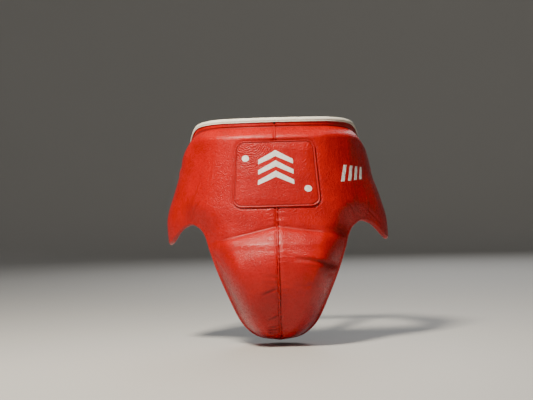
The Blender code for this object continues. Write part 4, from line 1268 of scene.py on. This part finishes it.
class PROTECTOR_OT_closures(bpy.types.Operator):
    """Hook-and-loop straps, wire rings and their webbing keepers at both wings"""

    bl_idname = "protector.closures"
    bl_label = "Closures"

    def execute(self, context):
        for word, side in SIDES:
            plane = EndPlane(side)
            self.strap(word, side, plane)
            self.grips(word, side)
            self.ring(word, plane)
            self.keeper(word, plane)
        return {"FINISHED"}

    def strap(self, word, side, plane):
        """One leather strap from the wing's end, round the ring and back over the wing."""
        turns = -math.pi / 2 + np.linspace(0, math.pi, 19)
        fold = [(FRONT_BAR + FOLD_RADIUS * math.cos(t), BAR_LIFT + FOLD_RADIUS * math.sin(t)) for t in turns]
        plan = [(a, ROOT_LIFT) for a in np.linspace(0.6, 25, 12)] + fold
        plan += [(a, FOLD_END) for a in (24, 21, 18, 15, 12, 9.5)]
        half = CLOSURE_HEIGHT / 2
        stack = GRIP_GAP + HOOK + CLEAR + HOOK + GRIP_GAP + STRAP / 2
        laid = np.linspace(250, TAB_END, 16)
        columns = 22
        rise = np.linspace(-half, half, columns + 1)
        rows = [np.array([plane.at(a, b, BAND_LEVEL + r) for r in rise]) for a, b in plan]
        rows += [over_wing(side, np.full(columns + 1, u), BAND_LEVEL + rise, stack) for u in laid]
        centre = np.array(rows)
        travelled = lengths_along(centre[:, columns // 2])
        beyond = np.concatenate([centre[:1], centre, centre[-1:]])
        centre = 0.2 * beyond[:-2] + 0.6 * centre + 0.2 * beyond[2:]
        piece, a, b = grid(f"closure_leather_{word}", columns, len(rows) - 1)
        i, j = step(b, len(rows) - 1), step(a, columns)
        spots = centre[i, j]
        ending = smooth((travelled[-1] - travelled[i]) / 9)
        rounding = 1 - (1 - np.sqrt(np.clip(1 - (1 - ending) ** 2, 0, 1))) * 0.35
        middle = centre[i, columns // 2]
        spots = middle + (spots - middle) * rounding[:, None]
        edge = half - np.abs(rise[j])
        # the last value is painted shade along a crease line 3.4 mm in from each edge
        shape(piece, spots, rise[j], travelled[i], 0.55 * bell(edge - 3.4, 0.9))
        give_thickness(piece, STRAP, 0)
        round_edges(piece, 0.45)
        soften(piece, 50)
        done(piece, "red strap leather", None, (f"closure_strap_{word}", f"closure_tab_{word}"))
        pivot = plane.at(FRONT_BAR, FOLD_END)
        bend = plane.outward - 0.25 * plane.rearward
        bend = bend / (bend @ bend)
        start, end = pivot - bend * 1.6, pivot + bend * 0.6
        tuple(start * MM)
        tuple(end * MM)
        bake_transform(piece)
        self.tab_seams(word, plane, centre[len(plan) - 4 :])

    def tab_seams(self, word, plane, rows):
        """Thread along the tab's two long edges and across its end, three grid steps in."""
        seams = [("low", rows[:-2, 3]), ("high", rows[:-2, -4]), ("end", rows[-3, 3:-3])]
        for name, line in seams:
            if name != "end":
                up = unit(np.cross(np.gradient(line, axis=0), np.array([0, 0, 1.0])))
                up *= np.sign((up @ plane.outward).mean())
            else:
                up = np.repeat(up[-1:], len(line), axis=0)
            points = line + up * (STRAP / 2)
            sew(f"tab_stitches_{word}_{name}", points, up, STRAP_STITCH, "red thread", f"{word}_tab")

    def grips(self, word, side):
        """The loop field on the wing and the hook tape under the strap's end."""
        rise = (CLOSURE_HEIGHT - 6) / 2
        on_pad, on_tab = GRIP_GAP + HOOK / 2, GRIP_GAP + HOOK + CLEAR + HOOK / 2
        for name, stack, finish, body, node, slot in (
            ("loop_pile", on_pad, "loop pile", "root", "loop_field", "loop_tape"),
            ("hook_tape", on_tab, "hook tape", f"{word}_tab", "hook_patch", "hook_tape"),
        ):
            piece, a, b = grid(f"{name}_{word}", 30, 40)
            u = TAB_END + 2 + (TAB_START - 8 - TAB_END) * a
            z = BAND_LEVEL + (2 * b - 1) * rise
            shape(piece, over_wing(side, u, z, stack), u, z)
            if side < 0:
                edit(piece, (bpy.ops.mesh.flip_normals, {}))
            give_thickness(piece, HOOK, 0)
            round_edges(piece, 0.3)
            soften(piece, 50)
            done(piece, finish, body, (f"{node}_{word}",))

    def ring(self, word, plane):
        """A rectangular ring of bent wire with rounded corners and a closed butt joint."""
        corner, tall = 3.0, RING_OPENING / 2 + RING_WIRE
        frame = []
        for a, z, turn in (
            (REAR_BAR - corner, tall - corner, 0),
            (FRONT_BAR + corner, tall - corner, math.pi / 2),
            (FRONT_BAR + corner, corner - tall, math.pi),
            (REAR_BAR - corner, corner - tall, math.pi * 3 / 2),
        ):
            for k in range(9):
                angle = turn + math.pi / 2 * k / 8
                rise = BAND_LEVEL + z + corner * math.sin(angle)
                frame.append(plane.at(a + corner * math.cos(angle), BAR_LIFT, rise))
        frame = np.array(frame)
        side_way = np.cross(plane.outward, unit(np.roll(frame, -1, axis=0) - np.roll(frame, 1, axis=0)))
        piece, donut = donut_of(f"wire_ring_{word}", len(frame), 20)
        around = step(np.arctan2(donut[:, 1], donut[:, 0]) / (2 * np.pi), len(frame)) % len(frame)
        across, up = (np.hypot(donut[:, 0], donut[:, 1]) - 1) / 0.25, donut[:, 2] / 0.25
        wire = side_way[around] * across[:, None] + plane.outward * up[:, None]
        move_points(piece, frame[around] + wire * RING_WIRE)
        edit(piece, (bpy.ops.mesh.normals_make_consistent, {"inside": False}))
        soften(piece, 60)
        done(piece, "nickel", f"{word}_ring", (f"ring_{word}",))

    def keeper(self, word, plane):
        """Webbing folded round the ring's rear bar and sewn to both faces of the band."""
        leg = RING_WIRE + CLEAR + KEEPER / 2
        run = [(REAR_BAR + a, BAR_LIFT + leg) for a in (16, 12, 8, 4)]
        turns = math.pi / 2 + np.linspace(0, math.pi, 17)
        run += [(REAR_BAR + leg * math.cos(t), BAR_LIFT + leg * math.sin(t)) for t in turns]
        run += [(REAR_BAR + a, BAR_LIFT - leg) for a in (4, 8, 12, 16)]
        pairs = upright([plane.at(a, b) for a, b in run], BAND_HEIGHT - 2)
        piece = web(f"keeper_web_{word}", pairs, KEEPER, 14)
        done(piece, "keeper webbing", "root", (f"ring_keeper_{word}",))
        for name, a in (("near", REAR_BAR + 7), ("far", REAR_BAR + 14)):
            z = np.linspace(BAND_LEVEL - 23, BAND_LEVEL + 23, 60)
            line = np.array([plane.at(a, BAR_LIFT + leg + KEEPER / 2, h) for h in z])
            up = np.tile(plane.outward, (60, 1))
            sew(f"keeper_stitches_{word}_{name}", line, up, KEEPER_STITCH, "black thread", "root")


def band_line(steps=1):
    """Plan line of the rear band, from the right keeper round the back to the left one, in millimetres."""
    right = EndPlane(1)
    first, second = right.at(REAR_BAR + 4, BAR_LIFT), right.at(REAR_BAR + 17, BAR_LIFT)
    back = np.array([0, BACK_DEPTH, BAND_LEVEL], float)
    handle_in, handle_out = second + right.rearward * 22, back + np.array([48, 0, 0])
    half = [first + (second - first) * k / (2 * steps) for k in range(2 * steps)] if steps > 1 else [first]
    for k in range(8 * steps + 1):
        t = k / (8 * steps)
        outer, inner = second * (1 - t) ** 3 + back * t**3, handle_in * (1 - t) + handle_out * t
        half.append(outer + 3 * t * (1 - t) * inner)
    return np.array(half + [p * (-1, 1, 1) for p in reversed(half[:-1])])


class PROTECTOR_OT_band(bpy.types.Operator):
    """Wide elastic band round the wearer's back"""

    bl_idname = "protector.band"
    bl_label = "Rear band"

    def execute(self, context):
        line = band_line(9)
        pairs = upright(line, BAND_HEIGHT)
        travelled = lengths_along(line)
        sag = 0.5 * np.sin(travelled / travelled[-1] * np.pi)[:, None] * np.array([0, 0, 1.0])
        pairs = [(a - s, b - s) for (a, b), s in zip(pairs, sag, strict=True)]
        piece = web("back_band", pairs, BAND, 26, 0.1)
        done(piece, "band elastic", "root", ("rear_band",))
        return {"FINISHED"}


# ---- leg straps ------------------------------------------------------------------------------------------


def band_spot(side, x):
    path = band_line()
    path = path[np.argsort(path[:, 0])]
    y = np.interp(side * x, path[:, 0], path[:, 1])
    before, after = np.interp([side * x - 6, side * x + 6], path[:, 0], path[:, 1])
    return np.array([side * x, y, 0]), unit(np.array([1, (after - before) / 12, 0]))


def leg_edges(side):
    """Edge points of a leg strap as the frame's solid has them, with its straight run's start, direction and
    width's direction."""
    half = np.array([LEG_WIDTH / 2, 0, 0])
    depth = -CLEAR - LEG_STRAP / 2 - 0.3
    foot = side * 19
    sewn = [
        (lift(foot - LEG_WIDTH / 2, z, depth), lift(foot + LEG_WIDTH / 2, z, depth)) for z in (-332.0, -325.0, -318.0)
    ]
    middle = (sewn[-1][0] + sewn[-1][1]) / 2
    spot, along = band_spot(side, 56)
    inner = np.array([along[1], -along[0], 0]) * (BAND / 2 + CLEAR + LEG_STRAP / 2 + 0.5)
    hung = [spot + inner + (0, 0, z) for z in (-121, -111, -84)]
    low_bend, high_bend = middle + (0, 9, 11), hung[0] + (0, -8, -10)
    direction = unit(high_bend - low_bend)
    start, stop = low_bend + direction * 8, high_bend - direction * 8
    across = unit(half - direction * (half @ direction)) * LEG_WIDTH / 2
    edges = [*sewn, (middle + (0, 1.5, 6) - half, middle + (0, 1.5, 6) + half)]
    edges += [(p - across, p + across) for p in (low_bend + direction, start, stop)]
    turned = along * LEG_WIDTH / 2
    for p, turn in ((high_bend - direction, 0.45), (hung[0] + (0, -1, -5), 0.9)):
        wide = unit(across + (turned - across) * turn) * LEG_WIDTH / 2
        edges.append((p - wide, p + wide))
    edges += [(p - turned, p + turned) for p in hung]
    return edges, start, direction, unit(across)


class PROTECTOR_OT_leg_straps(bpy.types.Operator):
    """Elastic leg straps, their sliders and the leather tab over their sewn ends"""

    bl_idname = "protector.leg_straps"
    bl_label = "Leg straps"

    def execute(self, context):
        for word, side in SIDES:
            edges, start, direction, across = leg_edges(side)
            self.strap(word, edges)
            self.slider(word, start + direction * 70, across, direction)
        self.anchor()
        return {"FINISHED"}

    @staticmethod
    def eased_line(line):
        """One edge of the strap with its bends rounded; its sixth stretch, between the bends, stays straight."""
        pts = np.vstack([line[:1], line, line[-1:]])
        out = []
        for k, steps in enumerate((4, 4, 4, 4, 4, 60, 4, 4, 4, 4, 8)):
            a, b, c, d = pts[k : k + 4]
            before = (c - b) if k == 6 else (c - a)
            after = (c - b) if k == 4 else (d - b)
            for t in np.arange(steps) / steps:
                bent = 0.5 * before * (t**3 - 2 * t**2 + t) + 0.5 * after * (t**3 - t**2)
                share = t if k == 5 else smooth(t)
                out.append(b + (c - b) * share + (0 if k == 5 else bent))
        return [*out, line[-1]]

    def strap(self, word, edges):
        pairs = list(zip(*(self.eased_line(np.array(line)) for line in zip(*edges, strict=True)), strict=True))
        piece = web(f"leg_web_{word}", pairs, LEG_STRAP, 12)
        done(piece, "leg elastic", "root", (f"leg_strap_{word}",))
        top = pairs[-9:-1]
        span, rise = top[0][1] - top[0][0], top[-1][0] - top[0][0]
        facing = unit(np.cross(span, rise))
        facing *= -np.sign(facing[1])
        for name, share in (("low", 0.12), ("high", 0.85)):
            centre = top[0][0] + rise * share
            line = np.array([centre + span * s for s in np.linspace(0.08, 0.92, 30)]) + facing * LEG_STRAP / 2
            up = np.tile(facing, (30, 1))
            sew(f"leg_stitches_{word}_{name}", line, up, LEG_STITCH, "black thread", "root")

    def slider(self, word, centre, across, direction):
        """A moulded three-bar slider: two end bars above the strap and one middle bar below it."""
        facing = np.cross(across, direction)
        turn = Matrix((across, direction, facing)).transposed().to_4x4()
        turn.translation = Vector(centre * MM)
        parts = [
            ((-15.1, 0, 0), (3.8, 24, 8.2)), ((15.1, 0, 0), (3.8, 24, 8.2)),
            ((0, 9.1, 2.75), (30, 5.6, 2.7)), ((0, -9.1, 2.75), (30, 5.6, 2.7)), ((0, 0, -2.75), (30, 5.8, 2.7)),
        ]
        bars = []
        for place, size in parts:
            deselect()
            bpy.ops.mesh.primitive_cube_add(size=1)
            bar = named(f"leg_slider_frame_{word}")
            cube = points_of(bar)
            move_points(bar, cube * size + place)
            modify(bar, "BEVEL", width=0.8 * MM, segments=4, limit_method="NONE")
            bars.append(bar)
        body = bars[0]
        for bar in bars[1:]:
            modify(body, "BOOLEAN", operation="UNION", object=bar, solver="EXACT")
            bpy.data.objects.remove(bar)
        body.name = body.data.name = f"leg_slider_frame_{word}"
        body.data.transform(turn)
        close_up(body, 0.001)
        soften(body, 35)
        lay_uv(body, points_of(body)[:, 0] / MM, points_of(body)[:, 2] / MM)
        done(body, "slider plastic", f"{word}_slider", (f"leg_slider_{word}",))

    def anchor(self):
        """The leather tab over the leg straps' sewn ends."""
        bottom, tall = -336, 15.5
        piece, a, b = grid("strap_anchor", 70, 22)
        z = bottom + tall * b
        half = 28 + 9 * b
        u = (2 * a - 1) * half
        depth = -2 * CLEAR - LEG_STRAP - 1.3
        edge = np.minimum(np.minimum(half - np.abs(u), z - bottom), bottom + tall - z)
        bulge = -0.7 * smooth((15 - np.abs(np.abs(u) - 19)) / 4) * smooth(edge / 3)
        # the last value is painted shade along a line 2.4 mm in from the tab's edge
        shape(piece, lift(u, z, depth + bulge + 0.9 * (1 - smooth(edge / 2.5))), u, z, 0.6 * bell(edge - 2.4, 0.7))
        give_thickness(piece, 1.4, -1)
        soften(piece, 50)
        done(piece, "red strap leather", "root", ("anchor_tab",))


# ---- stage -----------------------------------------------------------------------------------------------


class PROTECTOR_OT_stage(bpy.types.Operator):
    """Pale floor, soft lights and the camera"""

    bl_idname = "protector.stage"
    bl_label = "Stage"

    def execute(self, context):
        sizes = context.scene.protector_sizes
        floor, a, b = grid("floor", 96, 40)
        turn = a * 2 * np.pi
        out = np.clip(b / 0.5, 0, 1)
        bend = np.clip((b - 0.5) / 0.3, 0, 1) * np.pi / 2
        flat, sweep, wall, drop = 3.2, 1.4, 1.6, 0.004
        radius = flat * out + sweep * np.sin(bend)
        rise = sweep * (1 - np.cos(bend)) + wall * np.clip((b - 0.8) / 0.2, 0, 1)
        spots = np.stack([radius * np.cos(turn), radius * np.sin(turn), rise + CAD_LOW.z - drop], 1)
        move_points(floor, spots / MM)
        edit(floor, (bpy.ops.mesh.remove_doubles, {"threshold": MM}))
        soften(floor, 60)
        floor.data.materials.append(bpy.data.materials["pale floor"])
        centre = Vector((0, -0.03, -0.17))
        for name, spot, size, power, tint in (
            ("key light", (-0.42, -0.7, 0.94), 0.26, 46, (1.0, 0.9, 0.74)),
            ("fill light", (-0.9, -2.3, 0.5), 1.2, 8, (1.0, 0.97, 0.94)),
            ("rear light", (0.5, 1.9, 1.2), 1.4, 22, (1.0, 1.0, 1.0)),
        ):
            bpy.ops.object.light_add(type="AREA", location=spot)
            lamp = bpy.context.active_object
            lamp.name = name
            lamp.data.size, lamp.data.energy, lamp.data.color = size, power, tint
            lamp.rotation_euler = (centre - Vector(spot)).to_track_quat("-Z", "Y").to_euler()
        world = bpy.data.worlds.new("studio")
        world.use_nodes = True
        background = world.node_tree.nodes["Background"].inputs
        background["Color"].default_value, background["Strength"].default_value = (0.86, 0.87, 0.89, 1), 0.13
        context.scene.world = world
        bpy.ops.object.camera_add()
        camera = bpy.context.active_object
        camera.name = "camera"
        camera.data.lens = sizes.lens
        camera.data.sensor_width = 36
        aim = Vector((-0.0155, -0.05, -0.1265))
        distance = sizes.lens / camera.data.sensor_width * sizes.view_width
        camera.location = aim + Vector((0, -distance, 0))
        look = Matrix.Rotation(math.radians(90), 4, "X") @ Matrix.Rotation(-sizes.roll, 4, "Z")
        camera.rotation_euler = look.to_euler()
        context.scene.camera = camera
        return {"FINISHED"}


# ---- add-on ----------------------------------------------------------------------------------------------


class ProtectorColours(bpy.types.PropertyGroup):
    leather: FloatVectorProperty(
        name="Leather", description="Colour of the pad's leather", subtype="COLOR", default=(0.46, 0.0008, 0.0005)
    )
    binding: FloatVectorProperty(
        name="Binding", description="Colour of the waist binding", subtype="COLOR", default=(0.80, 0.78, 0.70)
    )
    cloth: FloatVectorProperty(
        name="Lining", description="Colour of the lining cloth", subtype="COLOR", default=(0.022, 0.022, 0.024)
    )


class ProtectorSizes(bpy.types.PropertyGroup):
    lens: FloatProperty(name="Lens", description="Focal length in millimetres", subtype="DISTANCE_CAMERA", default=85)
    view_width: FloatProperty(
        name="View width", description="How much the picture takes in at the pad", subtype="DISTANCE", default=0.8528
    )
    roll: FloatProperty(
        name="Roll", description="Turn of the camera about its view", subtype="ANGLE", default=math.radians(1.6)
    )


OPERATORS = (
    PROTECTOR_OT_front_pad, PROTECTOR_OT_lining, PROTECTOR_OT_binding, PROTECTOR_OT_badge, PROTECTOR_OT_cup,
    PROTECTOR_OT_closures, PROTECTOR_OT_band, PROTECTOR_OT_leg_straps, PROTECTOR_OT_stage,
)


class PROTECTOR_PT_panel(bpy.types.Panel):
    bl_idname = "PROTECTOR_PT_panel"
    bl_label = "Groin Protector"
    bl_space_type = "VIEW_3D"
    bl_region_type = "UI"
    bl_category = "Protector"

    def draw(self, context):
        scene = context.scene
        for group in (scene.protector_sizes, scene.protector_colours):
            for name in group.__annotations__:
                self.layout.prop(group, name)
        for operator in OPERATORS:
            self.layout.operator(operator.bl_idname)


CLASSES = (ProtectorColours, ProtectorSizes, *OPERATORS, PROTECTOR_PT_panel)


def register():
    for cls in CLASSES:
        bpy.utils.register_class(cls)
    bpy.types.Scene.protector_colours = PointerProperty(type=ProtectorColours)
    bpy.types.Scene.protector_sizes = PointerProperty(type=ProtectorSizes)


def unregister():
    del bpy.types.Scene.protector_sizes
    del bpy.types.Scene.protector_colours
    for cls in reversed(CLASSES):
        bpy.utils.unregister_class(cls)


def main():
    register()
    make_finishes(bpy.context.scene.protector_colours)
    for operator in OPERATORS:
        group, name = operator.bl_idname.split(".")
        getattr(getattr(bpy.ops, group), name)()


if __name__ == "__main__":
    main()
